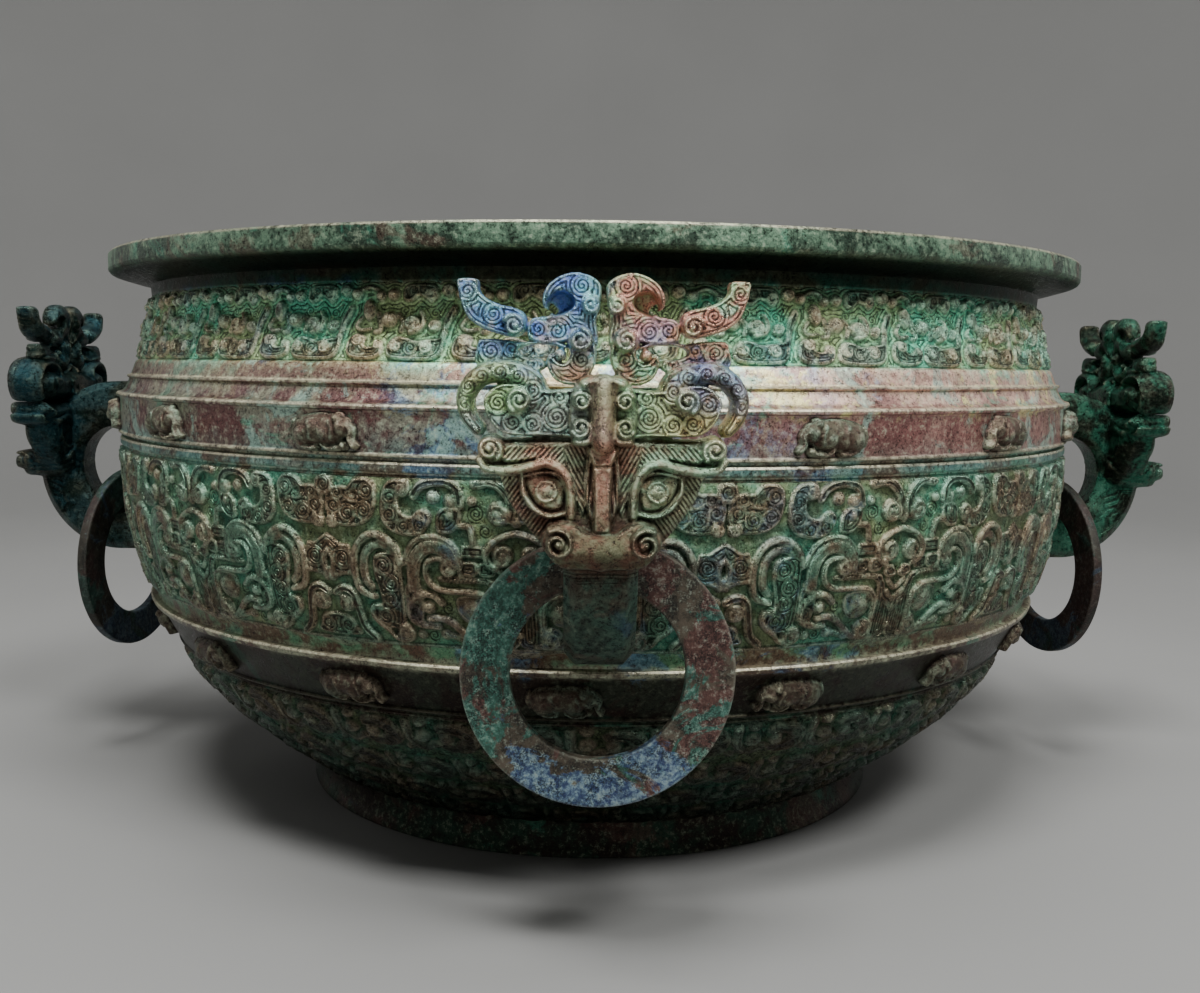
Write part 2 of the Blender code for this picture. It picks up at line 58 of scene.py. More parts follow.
# Engraved lines, in millimetres: the step from one to the next, and from an edge to the first
LINE_PITCH = 1.1
FIRST_LINE = 1.35
# What a sheet holds where nothing is near: the distance to an outline, and to a spiral's edge
FAR = 50.0
NO_DISC = 9.0
# How far round a form its fields are worked out, and how far it may hang over a repeat's end
DISC_REACH = 3.0
FORM_MARGIN = 2.5
AREA_MARGIN = 0.5
OVERHANG = 8
# The edges of flat forms and of sunk areas
BEVEL = 0.8
RAIL_WIDTH = 0.45
SINK_SLOPE = 0.9
# Points along a scroll, between two points of a curve, and round a circle
CURL_STEPS = 22
CURVE_STEPS = 6
CIRCLE_POINTS = 12


class Sheet:
    """A flat field of heights, in millimetres, on which ornament is laid.

    level is the height, solid the distance to the nearest outline (negative inside), inset how far a
    spot lies inside its strap or plate, and disc how far it lies from the nearest spiral's edge.
    across and along are the place from that spiral's middle; elsewhere along is the way along a
    strap. lines is 0 where no fine lines are cut, 1 where they follow the edge and 2 for a hatch.
    """

    def __init__(self, left, right, low, high, step, period=None):
        self.left, self.low, self.step, self.period = left, low, step, period
        columns = int(round((right - left) / step)) + 1
        rows = int(round((high - low) / step)) + 1
        self.x = (left + step * np.arange(columns)).astype(np.float32)
        self.y = (low + step * np.arange(rows)).astype(np.float32)
        shape = (rows, columns)
        self.solid = np.full(shape, FAR, np.float32)
        self.disc = np.full(shape, NO_DISC, np.float32)
        for name in ("level", "inset", "across", "along", "lines"):
            setattr(self, name, np.zeros(shape, np.float32))

    def window(self, points, margin):
        """The rows and columns within a margin of some points, and the coordinates there."""
        low = (np.min(points, axis=0) - margin - (self.left, self.low)) / self.step
        high = (np.max(points, axis=0) + margin - (self.left, self.low)) / self.step
        first = np.maximum(np.floor(low).astype(int), 0)
        last = np.minimum(np.ceil(high).astype(int) + 1, (len(self.x), len(self.y)))
        part = (slice(first[1], last[1]), slice(first[0], last[0]))
        x, y = np.meshgrid(self.x[part[1]], self.y[part[0]])
        return part, x, y

    def places(self, points):
        """The same points once for each turn of a repeating sheet that they may show in."""
        points = np.asarray(points, float).reshape(-1, 2)
        if self.period is None:
            return [points]
        shifts = [k * self.period for k in (-1, 0, 1)]
        low, high = self.left - OVERHANG, self.x[-1] + OVERHANG
        return [points + (s, 0) for s in shifts
                if points[:, 0].max() + s > low and points[:, 0].min() + s < high]

    def near_curve(self, points, width, end_width=None):
        """The part of the sheet near a curve, with the distance, half width and run there."""
        for spots in self.places(points):
            path = smooth(spots)
            widths = np.linspace(width, width if end_width is None else end_width, len(path)) / 2
            part, x, y = self.window(path, max(widths) + FORM_MARGIN)
            if x.size:
                away, half, run = nearest(path, widths, x, y)
                self.solid[part] = np.minimum(self.solid[part], away - half)
                yield part, away, half, run

    def near_outline(self, points, margin, curved=True):
        """The part of the sheet near a closed outline, its coordinates, and the distance there."""
        for spots in self.places(points):
            path = smooth(spots, True) if curved else np.vstack([spots, spots[:1]])
            part, x, y = self.window(path, margin)
            if x.size:
                yield part, x, y, outline_distance(path, x, y)

    def near_centre(self, centre, margin):
        """The part of the sheet round a centre, and the way from it there."""
        for spots in self.places([centre]):
            part, x, y = self.window(spots, margin)
            if x.size:
                yield part, x - spots[0, 0], y - spots[0, 1]

    def put(self, part, where, **values):
        """Sets fields to new values where a mask is true."""
        for name, value in values.items():
            field = getattr(self, name)
            field[part] = np.where(where, value, field[part])

    def lay(self, part, inside, level, inset, lines, run=0.0):
        """Puts a form on the sheet wherever it stands higher than what is there."""
        higher = inside & (level > self.level[part])
        self.put(part, higher, along=run, level=level, inset=inset, lines=lines, disc=NO_DISC)

    def lay_flat(self, part, depth, height, base, rail, lines, run=0.0):
        """Puts down a flat form with bevelled edges and a raised rail along them."""
        bevel = np.clip(depth / BEVEL, 0, 1)
        ridge = np.exp(-((depth - BEVEL) / RAIL_WIDTH) ** 2)
        level = base + height * np.sin(bevel * math.pi / 2) + rail * ridge
        self.lay(part, depth > 0, level, depth, lines, run)

    def tube(self, points, width, height, base=0.0, end_width=None, lines=0.0):
        """A round ridge along a curve."""
        for part, away, half, run in self.near_curve(points, width, end_width):
            share = np.clip(1 - (away / half) ** 2, 0, 1)
            self.lay(part, away < half, base + height * np.sqrt(share), half - away, lines, run)

    def strap(self, points, width, height, rail=0.5, lines=1.0):
        """A flat strap along a curve, with raised rails along its edges."""
        for part, away, half, run in self.near_curve(points, width):
            self.lay_flat(part, half - away, height, 0.0, rail, lines, run)

    def plate(self, points, height, base=0.0, rail=0.5, lines=1.0, curved=True):
        """A flat plate inside a closed outline."""
        for part, x, y, away in self.near_outline(points, FORM_MARGIN, curved):
            self.lay_flat(part, -away, height, base, rail, lines)
            self.solid[part] = np.minimum(self.solid[part], away)

    def sink(self, points, level):
        """Lowers an area to a level, with sloping sides."""
        for part, x, y, away in self.near_outline(points, AREA_MARGIN):
            share = np.clip(-away / SINK_SLOPE, 0, 1)
            lower = self.level[part] + (level - self.level[part]) * share
            self.level[part] = np.minimum(self.level[part], lower)
            self.put(part, share > 0, lines=0.0)

    def ball(self, centre, radius, height, base=0.0):
        """A round knob."""
        for part, dx, dy in self.near_centre(centre, radius + FORM_MARGIN):
            away = np.hypot(dx, dy)
            share = np.clip(1 - (away / radius) ** 2, 0, 1)
            self.lay(part, away < radius, base + height * share**0.5, radius - away, 0.0)
            self.solid[part] = np.minimum(self.solid[part], away - radius)

    def curl(self, centre, radius, height, base=0.0, start=0.0, turn=1, turns=1.6, width=None):
        """A scroll end: a tube that winds in to a small knob."""
        width = radius * 0.46 if width is None else width
        angles = np.radians(start) + turn * np.linspace(0, turns * TURN, CURL_STEPS)
        reach = np.linspace(radius - width / 2, radius * 0.2, CURL_STEPS)
        self.ball(centre, radius * 0.9, height * 0.4, base)
        self.tube(round_points(centre, reach, angles), width, height, base, end_width=width * 0.8)
        self.ball(centre, radius * 0.24, height * 1.15, base)

    def spiral(self, centre, radius, turn=1):
        """A fine spiral, cut with the other fine lines."""
        for part, dx, dy in self.near_centre(centre, radius + DISC_REACH):
            away = np.hypot(dx, dy) - radius
            nearer = away < np.minimum(self.disc[part], DISC_REACH)
            self.put(part, nearer, disc=away)
            self.put(part, nearer & (away < 0.4), across=dx * turn, along=dy)

    def spirals(self, *rows):
        """Several spirals, each as (x, y, radius) or (x, y, radius, turn)."""
        for x, y, *rest in rows:
            self.spiral((x, y), *rest)

    def hatch(self, points, degrees):
        """Straight lines across an area, in place of those that follow its edge."""
        lean = math.radians(degrees)
        for part, x, y, away in self.near_outline(points, AREA_MARGIN):
            across = x * math.cos(lean) + y * math.sin(lean)
            self.put(part, away < 0, lines=2.0, disc=NO_DISC, across=across)

    def engrave(self, depth, ground_lines=1.0):
        """Cuts the fine lines: spirals, hatches, and echoes of the nearest edge or spiral."""
        on_form = self.inset > 0
        self.echo = np.where(on_form, np.minimum(self.inset, np.abs(self.disc) + 0.5), self.solid)
        self.echo = np.clip(self.echo, -2, 6)
        self.lines = np.where(on_form, self.lines, ground_lines)
        radius = np.hypot(self.across, self.along)
        winding = radius / LINE_PITCH - np.arctan2(self.along, self.across) / TURN
        phase = np.where(self.lines > 1.5, self.across / LINE_PITCH, (self.echo - FIRST_LINE) / LINE_PITCH)
        phase = np.where(self.disc < 0, winding, phase)
        shown = (self.disc < 0) | (self.lines > 1.5) | ((self.lines > 0.5) & (self.echo > FIRST_LINE - 0.5))
        self.level -= depth * np.where(shown, 0.5 + 0.5 * np.cos(TURN * phase), 0)

    def read(self, field, x, y):
        """The value of a field at some places, blended from the four nearest points of the grid."""
        column = np.clip((x - self.left) / self.step, 0, len(self.x) - 1.001)
        row = np.clip((y - self.low) / self.step, 0, len(self.y) - 1.001)
        c, r = column.astype(int), row.astype(int)
        a, b = column - c, row - r
        low = field[r, c] * (1 - a) + field[r, c + 1] * a
        high = field[r + 1, c] * (1 - a) + field[r + 1, c + 1] * a
        return low * (1 - b) + high * b

    def soften(self):
        """Blends every height with its neighbours once."""
        for axis in (0, 1):
            pad = [(1, 1) if a == axis else (0, 0) for a in (0, 1)]
            wide = np.pad(self.level, pad, mode="edge")
            low = wide[:-2] if axis == 0 else wide[:, :-2]
            high = wide[2:] if axis == 0 else wide[:, 2:]
            self.level = (low + high + 2 * self.level) / 4


def round_points(centre, radius, angles):
    """Points at some angles round a centre, at one distance or a row of distances."""
    return np.stack([centre[0] + radius * np.cos(angles), centre[1] + radius * np.sin(angles)], 1)


def smooth(points, closed=False):
    """A curve through points, as a closer row of points."""
    points = np.asarray(points, float)
    if closed:
        points = np.vstack([points[-1], points, points[0], points[1]])
    else:
        points = np.vstack([2 * points[0] - points[1], points, 2 * points[-1] - points[-2]])
    share = (np.arange(CURVE_STEPS) / CURVE_STEPS)[:, None]
    rows = []
    for a, b, c, d in zip(points, points[1:], points[2:], points[3:]):
        rows.append(0.5 * (2 * b + (c - a) * share + (2 * a - 5 * b + 4 * c - d) * share**2
                           + (3 * b - a - 3 * c + d) * share**3))
    rows.append(points[-2:-1])
    return np.vstack(rows)


def nearest(path, widths, x, y):
    """The distance to a path, and the path's half width and length so far at the nearest spot."""
    best = np.full(x.shape, 1e6, np.float32)
    away = np.full(x.shape, 1e6, np.float32)
    half = np.full(x.shape, 1.0, np.float32)
    run = np.zeros(x.shape, np.float32)
    so_far = 0.0
    for (ax, ay), (bx, by), wa, wb in zip(path, path[1:], widths, widths[1:]):
        dx, dy = bx - ax, by - ay
        share = np.clip(((x - ax) * dx + (y - ay) * dy) / max(dx * dx + dy * dy, 1e-9), 0, 1)
        distance = np.hypot(x - ax - share * dx, y - ay - share * dy)
        width = wa + (wb - wa) * share
        closer = distance - width < best
        best = np.where(closer, distance - width, best)
        away = np.where(closer, distance, away)
        half = np.where(closer, width, half)
        length = math.hypot(dx, dy)
        run = np.where(closer, so_far + share * length, run)
        so_far += length
    return away, half, run


def outline_distance(path, x, y):
    """The distance to a closed outline, negative inside it."""
    away = np.full(x.shape, 1e6, np.float32)
    inside = np.zeros(x.shape, bool)
    for (ax, ay), (bx, by) in zip(path, path[1:]):
        dx, dy = bx - ax, by - ay
        share = np.clip(((x - ax) * dx + (y - ay) * dy) / max(dx * dx + dy * dy, 1e-9), 0, 1)
        away = np.minimum(away, np.hypot(x - ax - share * dx, y - ay - share * dy))
        if ay != by:
            crosses = ((ay > y) != (by > y)) & (x < (bx - ax) * (y - ay) / (by - ay) + ax)
            inside ^= crosses
    return np.where(inside, -away, away)


# Vessel outline, in millimetres, from the foot up
NECK_TOP = 217.0
NECK_LOW = 190.4
BODY_TOP = 154.5
BODY_LOW = 92.5
BOWL_TOP = 69.5
FOOT_TOP = 14.0
WALL = 4.5
UNIT_ANGLE = 18.0
MM_PER_DEGREE = 3.578
HALF_UNIT = UNIT_ANGLE * MM_PER_DEGREE
UNIT_TURN = -7.0


def band(top, low, top_radius, low_radius, power, steps):
    """Points down a curved band that turns inwards towards its bottom."""
    share = np.linspace(0, 1, steps + 1)
    radius = top_radius + (low_radius - top_radius) * share**power
    return np.stack([radius, top + (low - top) * share], 1)


NECK = band(NECK_TOP, NECK_LOW, 198.5, 204.2, 1.5, 12)
BODY = band(BODY_TOP, BODY_LOW, 211.0, 199.3, 2.2, 24)
BOWL = band(BOWL_TOP, FOOT_TOP, 187.9, 129.0, 1.38, 24)


class Wall:
    """A strip of the vessel's outside, followed from its top edge down."""

    def __init__(self, points):
        self.points = np.asarray(points, float)
        runs = np.hypot(*np.diff(self.points, axis=0).T)
        self.run = np.concatenate([[0], np.cumsum(runs)])
        along = np.gradient(self.points, self.run, axis=0)
        self.out = np.stack([-along[:, 1], along[:, 0]], 1)
        self.out /= np.linalg.norm(self.out, axis=1)[:, None]

    def place(self, down, lift, angle):
        """Points a lift off the wall, at distances down it and angles round it."""
        read = [np.interp(down, self.run, column) for column in (*self.points.T, *self.out.T)]
        radius = read[0] + read[2] * lift
        height = read[1] + read[3] * lift
        return np.stack([radius * np.sin(angle), -radius * np.cos(angle), height], 1) * MM


def new_piece(name, points, faces, body, values=None, sharp=None):
    """A mesh object from points and triangles or quads, with its named values on the points."""
    mesh = bpy.data.meshes.new(name)
    points = np.asarray(points, np.float32)
    mesh.vertices.add(len(points))
    mesh.vertices.foreach_set("co", points.ravel())
    corners = np.concatenate([np.asarray(f, np.int32).ravel() for f in faces if len(f)])
    sizes = np.concatenate([np.full(len(f), np.asarray(f).shape[1], np.int32) for f in faces if len(f)])
    mesh.loops.add(len(corners))
    mesh.loops.foreach_set("vertex_index", corners)
    mesh.polygons.add(len(sizes))
    mesh.polygons.foreach_set("loop_start", np.concatenate([[0], np.cumsum(sizes)[:-1]]).astype(np.int32))
    mesh.update(calc_edges=True)
    mesh.validate()
    mesh.polygons.foreach_set("use_smooth", np.full(len(mesh.polygons), True))
    if sharp:
        mesh.set_sharp_from_angle(angle=math.radians(sharp))
    for key, column in (values or {}).items():
        store = mesh.attributes.new(key, "FLOAT", "POINT")
        store.data.foreach_set("value", np.asarray(column, np.float32))
    made = bpy.data.objects.new(name, mesh)
    bpy.context.scene.collection.objects.link(made)
    if body:
        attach(made, body)
    return made


def read_mesh(mesh):
    """The points and triangles of a mesh."""
    points = np.empty(len(mesh.vertices) * 3, np.float32)
    mesh.vertices.foreach_get("co", points)
    mesh.calc_loop_triangles()
    faces = np.empty(len(mesh.loop_triangles) * 3, np.int32)
    mesh.loop_triangles.foreach_get("vertices", faces)
    return points.reshape(-1, 3), faces.reshape(-1, 3)


def thinned(points, faces, most):
    """The same surface in no more than a number of triangles, with the fine forms kept."""
    holder = new_piece("thinning", points, faces, None)
    count = sum(len(f) * (np.asarray(f).shape[1] - 2) for f in faces if len(f))
    thin = holder.modifiers.new("thin", "DECIMATE")
    thin.ratio = min(1.0, most / count)
    graph = bpy.context.evaluated_depsgraph_get()
    result = holder.evaluated_get(graph)
    mesh = result.to_mesh()
    found = read_mesh(mesh)
    result.to_mesh_clear()
    mesh = holder.data
    bpy.data.objects.remove(holder)
    bpy.data.meshes.remove(mesh)
    return found


def grid_faces(rows, columns):
    """Quads over a grid of points that is stored row by row."""
    first = np.arange(rows - 1)[:, None] * columns + np.arange(columns - 1)[None, :]
    first = first.ravel()
    return np.stack([first, first + 1, first + columns + 1, first + columns], 1)


def relief_unit(sheet, most):
    """A sheet's heights as a thinned mesh: points (x, y, level) and triangles."""
    x, y = np.meshgrid(sheet.x, sheet.y)
    points = np.stack([x, y, sheet.level], -1).reshape(-1, 3)
    points, faces = thinned(points, [grid_faces(*sheet.level.shape)], most)
    edges = (sheet.x[0], sheet.x[-1], sheet.y[0], sheet.y[-1])
    for axis, edge in zip((0, 0, 1, 1), edges):
        beside = np.abs(points[:, axis] - edge) < 0.12
        points[beside, axis] = edge
    return points, faces


# The fields that go with a relief's points, and how deep its edge is sunk
FIELDS = ("level", "inset", "echo", "lines", "disc", "across", "along")
SKIRT = 1.5
# Where the tops of the swung rings come near the wall: the height and its reach there, in millimetres,
# and each handle's angle, how far to either side in degrees, and the share of the relief taken off
RUB_HEIGHT = 132.0
RUB_REACH = 9.5
RUB_FADE = 3.0
RUB_FADE_DEGREES = 2.0
RUBBED_PLACES = ((0, 3.5, 0.6), (180, 3.5, 0.6), (90, 8.0, 0.95), (270, 8.0, 0.95))


def left_by_rings(spots):
    """The share of the relief that is left where the tops of the swung rings come near the wall."""
    degrees = np.degrees(np.arctan2(spots[:, 0], -spots[:, 1]))
    near_top = np.clip((RUB_REACH - np.abs(spots[:, 2] / MM - RUB_HEIGHT)) / RUB_FADE, 0, 1)
    share = np.ones(len(spots))
    for middle, reach, rubbed in RUBBED_PLACES:
        away = np.abs((degrees - middle + 180) % 360 - 180)
        share -= rubbed * near_top * np.clip((reach + RUB_FADE_DEGREES - away) / RUB_FADE_DEGREES, 0, 1)
    return share


def round_band(name, sheet, wall, copies, start, turn, mirrored, most, depth):
    """A piece of relief laid round the vessel in copies, each copy's neighbour mirrored if asked.

    The sheet's y runs up from the band's foot, in millimetres along the wall, and its heights are
    scaled by a depth.
    """
    unit, faces = relief_unit(sheet, most // copies)
    values = {key: sheet.read(getattr(sheet, key), unit[:, 0], unit[:, 1]) for key in FIELDS}
    ends = (unit[:, 1] <= sheet.y[0] + 1e-4) | (unit[:, 1] >= sheet.y[-1] - 1e-4)
    lift = np.where(ends, -SKIRT, unit[:, 2] * depth)
    width = sheet.x[-1] - sheet.x[0]
    down = wall.run[-1] - (unit[:, 1] - sheet.y[0]) * wall.run[-1] / (sheet.y[-1] - sheet.y[0])
    spots, triangles, columns = [], [], {key: [] for key in FIELDS}
    for k in range(copies):
        flip = mirrored and k % 2 == 1
        share = (unit[:, 0] - sheet.x[0]) / width
        share = 1 - share if flip else share
        angle = np.radians(start + (k + share) * turn)
        left = left_by_rings(wall.place(down, lift, angle))
        spots.append(wall.place(down, lift * left, angle))
        triangles.append((faces[:, ::-1] if flip else faces) + k * len(unit))
        for key in FIELDS:
            columns[key].append(-values[key] if flip and key == "across" else values[key])
    if turn < 0:
        triangles = [part[:, ::-1] for part in triangles]
    columns = {key: np.concatenate(parts) for key, parts in columns.items()}
    return new_piece(name, np.concatenate(spots), [np.concatenate(triangles)], "basin", columns)


def body_sheet():
    """Half of one beast mask and the hooked plates beside it; its neighbours are its mirror images."""
    s = Sheet(0, HALF_UNIT, BODY_LOW, BODY_TOP, 0.36)
    # Plain edges above and below the relief
    s.plate([(-9, 88), (75, 88), (75, 99.2), (-9, 99.2)], 1.3, rail=0.0, lines=0.0, curved=False)
    s.plate([(-9, 154.2), (75, 154.2), (75, 160), (-9, 160)], 1.2, rail=0.0, lines=0.0, curved=False)

    # Hooks and scrolls along the top
    s.strap([(12.9, 153), (8, 153.6), (3.9, 151.4), (1.6, 147), (1.9, 142.6)], 3.6, 2.2)
    s.curl((5.5, 144.2), 4.5, 3.0, start=170)
    s.ball((14.1, 147.6), 1.7, 2.4)
    s.spirals((12.9, 143.6, 3.0), (9.9, 138.2, 2.2))
    s.strap([(18.5, 140), (14.9, 139.4), (13.8, 134.6)], 2.4, 1.9)
    s.strap([(17.7, 146.5), (18.7, 151), (22.1, 153.2), (26.9, 153.2), (30.9, 151.6), (32.9, 148.8)], 3.2,
            2.2)
    s.ball((20.5, 147.6), 2.7, 3.0)
    s.ball((26.5, 148.6), 2.3, 2.9)
    s.plate([(17.5, 145.2), (17.7, 140.6), (20.3, 137.6), (23.9, 137), (25.7, 138.6), (25.3, 143.4),
             (22.9, 145.6)], 1.8, rail=0.7)
    s.ball((20.9, 143.2), 2.1, 2.9)
    s.plate([(34.1, 153.6), (38.5, 154), (42.5, 152.2), (44.3, 147), (44.1, 141), (41.1, 137.3),
             (35.5, 135.8), (30.5, 136.8), (27.7, 139.8), (26.9, 143), (29.1, 145), (31.9, 144.2),
             (33.5, 142.6), (36.1, 143), (37.7, 145.4), (37.3, 149)], 1.9, rail=0.9)
    s.spirals((30.9, 139.8, 2.3), (36.3, 139, 2.2, -1), (40.9, 142.6, 2.5), (40.8, 148, 2.2, -1))
    s.curl((36.5, 150.8), 3.3, 3.2, start=60)
    s.curl((30.1, 142.8), 2.3, 2.6, start=220)
    s.plate([(45.3, 148), (45.9, 152), (49.5, 154), (53.9, 153.2), (55.9, 151), (58.9, 151.2), (62.5, 150),
             (64.5, 146), (63.5, 141), (60, 138.3), (55.5, 137.8), (50.5, 138.9), (46.9, 142)], 1.9,
            rail=0.9)
    s.sink([(51.7, 148.8), (53.1, 150.4), (54.9, 149.6), (55.1, 147.8), (53.1, 147)], 0.3)
    s.tube([(52.1, 146.4), (54.7, 146.4), (56.7, 147.6)], 1.3, 2.6)
    s.spirals((50.1, 143.4, 2.6), (55.9, 142.4, 2.6, -1), (60.9, 144.6, 2.3), (48.9, 149.6, 2.3, -1),
              (59.5, 148.6, 1.8))
    s.curl((61.9, 139.6), 2.9, 3.0, start=120)
    s.plate(circle((64.4, 151.2), 3.7), 2.4, rail=0.8)
    s.spiral((64.4, 151.2), 2.8)

    # Crown of the mask: a pair of scrolls under an arch on the axis, and meander bars beside it
    s.strap([(-2.1, 138.4), (2.9, 137.4), (7.3, 135.2), (9.7, 131.6), (8.9, 127.8), (5.5, 126.2)], 2.4, 2.5)
    s.curl((4.7, 131), 4.1, 3.0, start=-60, turn=-1)
    s.ball((0, 141.6), 1.9, 2.4)
    s.plate([(10.1, 129.6), (17.9, 129.6), (17.9, 134), (10.1, 134)], 1.4, rail=0.4, curved=False)
    s.plate([(7.3, 124.1), (12.1, 124.1), (12.1, 128.4), (7.3, 128.4)], 1.5, rail=0.5)
    s.plate([(12.8, 124.1), (17.9, 124.1), (17.9, 128.4), (12.8, 128.4)], 1.5, rail=0.5)
    s.plate([(0, 122.6), (2.9, 121.2), (5.9, 122.6), (5.5, 125.2), (2.5, 126)], 1.6, rail=0.4)
    for height, spread in ((118.8, 3.6), (114.8, 3.2), (110.8, 2.8)):
        s.strap([(-spread, height + 1.8), (0, height - 1.1), (spread, height + 1.8)], 2.2, 1.8, rail=0.2)

    # Inverted U beside the mask
    s.strap([(18.2, 124.2), (18.5, 130), (20.7, 134), (24.5, 136), (29.7, 136), (33.5, 134), (35.7, 130.6),
             (36.7, 127.4)], 2.2, 2.4, rail=0.2, lines=0.0)
    s.strap([(20.7, 128.6), (22.3, 131.6), (25.7, 133), (29.7, 132.4), (32.7, 129.2), (33.9, 125),
             (34, 119)], 4.8, 2.4, rail=0.3, lines=0.0)
    s.plate([(31.3, 120), (37.1, 120), (37.5, 112), (36.1, 107.4), (32.1, 107)], 1.2, rail=0.4)
    s.spirals((34.1, 116.4, 2.2), (34.7, 110.8, 1.9, -1))

    # Brow and face
    s.plate([(0, 100.6), (7.1, 100.6), (7.4, 116), (9.7, 121), (20.5, 121.2), (25.5, 121.8), (24.5, 123.6),
             (8.5, 123.4), (4.9, 120.4), (3.1, 116), (0, 113)], 1.6, rail=0.3)
    s.hatch([(9.5, 119.6), (24.5, 119.6), (27.5, 121.4), (25.5, 123.4), (10.5, 123.4)], 30)
    s.strap([(8.1, 107.6), (8.3, 114.4), (10.7, 117.6), (15.5, 118.6), (24.1, 118.8), (28.1, 120.6),
             (29.8, 124.4), (28.9, 128), (25.7, 129.4), (23.1, 128.8)], 2.3, 2.9, rail=0.2, lines=0.0)
    s.curl((22.3, 126.3), 3.4, 3.4, start=100)
    s.plate([(9.1, 113), (10.5, 109), (14, 107.4), (17.9, 108.4), (20.1, 112), (19.9, 116.6), (14.9, 117.6),
             (10.7, 116.6)], 0.9, rail=0.9, lines=0.0)
    s.ball((14.2, 112.6), 4.6, 2.6, base=0.5)
    s.ball((13.4, 113), 2.7, 3.4, base=0.5)
    s.curl((10.5, 103.6), 4.2, 3.2, start=90)
    s.strap([(5.5, 100.6), (13.5, 100.8), (17.9, 103.8), (21.9, 107.6), (25.7, 109.2), (29.7, 108.8)], 2.8,
            2.5, rail=0.2, lines=0.0)
    s.strap([(24.9, 114.4), (27.5, 116.8), (30.9, 117.2), (34.5, 115.6), (36.5, 112), (35.7, 108.4),
             (32.1, 106.4), (26.9, 106.2)], 2.8, 2.5, rail=0.2, lines=0.0)
    s.ball((29.7, 112.8), 2.4, 3.0)
    s.ball((24.7, 103.4), 2.0, 2.5)
    s.tube([(17.1, 101.2), (20.5, 102.6), (22.9, 103.2)], 2.4, 2.2)
    s.spiral((23.1, 112.4), 2.1)
    s.ball((0, 104.4), 2.4, 2.4)

    # Column and the two arches over it
    s.plate([(38.1, 128.6), (40.9, 131), (47.1, 129.6), (48.1, 124), (46.7, 117.6), (46.3, 112),
             (49.1, 112.2), (49.7, 108.6), (47.1, 105.6), (42.9, 104.2), (38.1, 107)], 1.7, rail=0.5)
    s.spirals((44.3, 126, 2.9), (41.9, 120.2, 2.4, -1), (42.7, 114.8, 2.0), (45.1, 108.6, 2.4, -1))
    s.tube([(46.5, 112.4), (49.7, 112), (49.9, 108.6), (47.7, 105.8), (44.5, 103.6), (42.9, 101.4),
            (39.5, 99.8)], 1.7, 2.8)
    s.strap([(38.1, 127.2), (39.5, 132), (42.7, 134.8), (46.7, 136), (50.7, 134.8), (53.7, 131),
             (54.7, 126), (54.3, 120), (52.5, 116.8), (48.3, 115.4)], 2.8, 2.8, rail=0.3, lines=0.0)
    s.strap([(39.7, 130.2), (42.9, 132.6), (46.5, 132.8), (49.9, 130.4), (51.4, 126), (51, 121),
             (49.1, 118.4)], 3.2, 2.2, rail=0.2, lines=0.0)
    s.plate([(55.9, 123), (62.5, 122.6), (62.9, 128), (65.5, 131), (66.5, 136), (62.5, 134.6),
             (59.5, 132.4), (55.9, 131.6)], 1.5, rail=0.4)
    s.spiral((59.1, 127.4), 3.2)
    s.strap([(55.3, 122.6), (59.5, 122.4), (62.5, 121.2)], 1.8, 2.0, rail=0.2, lines=0.0)
    s.strap([(63.3, 120.4), (62.7, 126.6), (64.5, 130), (68.5, 131)], 2.4, 2.4, rail=0.3, lines=0.0)
    s.ball((64.4, 122), 2.4, 2.8)
    s.curl((38.7, 103), 4.1, 3.0, start=60)
    s.ball((33.1, 102.8), 1.8, 2.3)
    s.spiral((29.1, 102.6), 2.2)

    # Lower hook between two masks
    s.plate([(56.3, 100.6), (68.5, 100.6), (68.5, 108), (62.5, 108.4), (58.5, 107.4), (56.9, 104)], 1.5,
            rail=0.5)
    s.spiral((60.5, 104.2), 2.4)
    s.curl((59.5, 112), 3.8, 3.2, start=60)
    s.strap([(62.9, 115.8), (59.5, 117.4), (56.1, 115.6), (54.9, 110), (53.5, 104), (49.9, 100.4)], 3.2,
            2.6, rail=0.5)
    s.soften()
    s.engrave(0.35, ground_lines=0.0)
    return s


def circle(centre, radius):
    angles = np.arange(CIRCLE_POINTS) / CIRCLE_POINTS * TURN
    return round_points(centre, radius, angles)


def fine_ground(s, pitch):
    """Rows of small spirals, close together, over the whole field behind the relief."""
    rows = int((s.y[-1] - s.y[0]) / pitch) + 1
    columns = int(round((s.x[-1] - s.x[0]) / pitch))
    spread = (s.x[-1] - s.x[0]) / columns
    for row in range(rows):
        for column in range(columns):
            centre = (s.x[0] + (column + 0.5) * spread, s.y[0] + (row + 0.5) * pitch)
            s.spiral(centre, pitch * 0.47, -1 if (row + column) % 2 else 1)


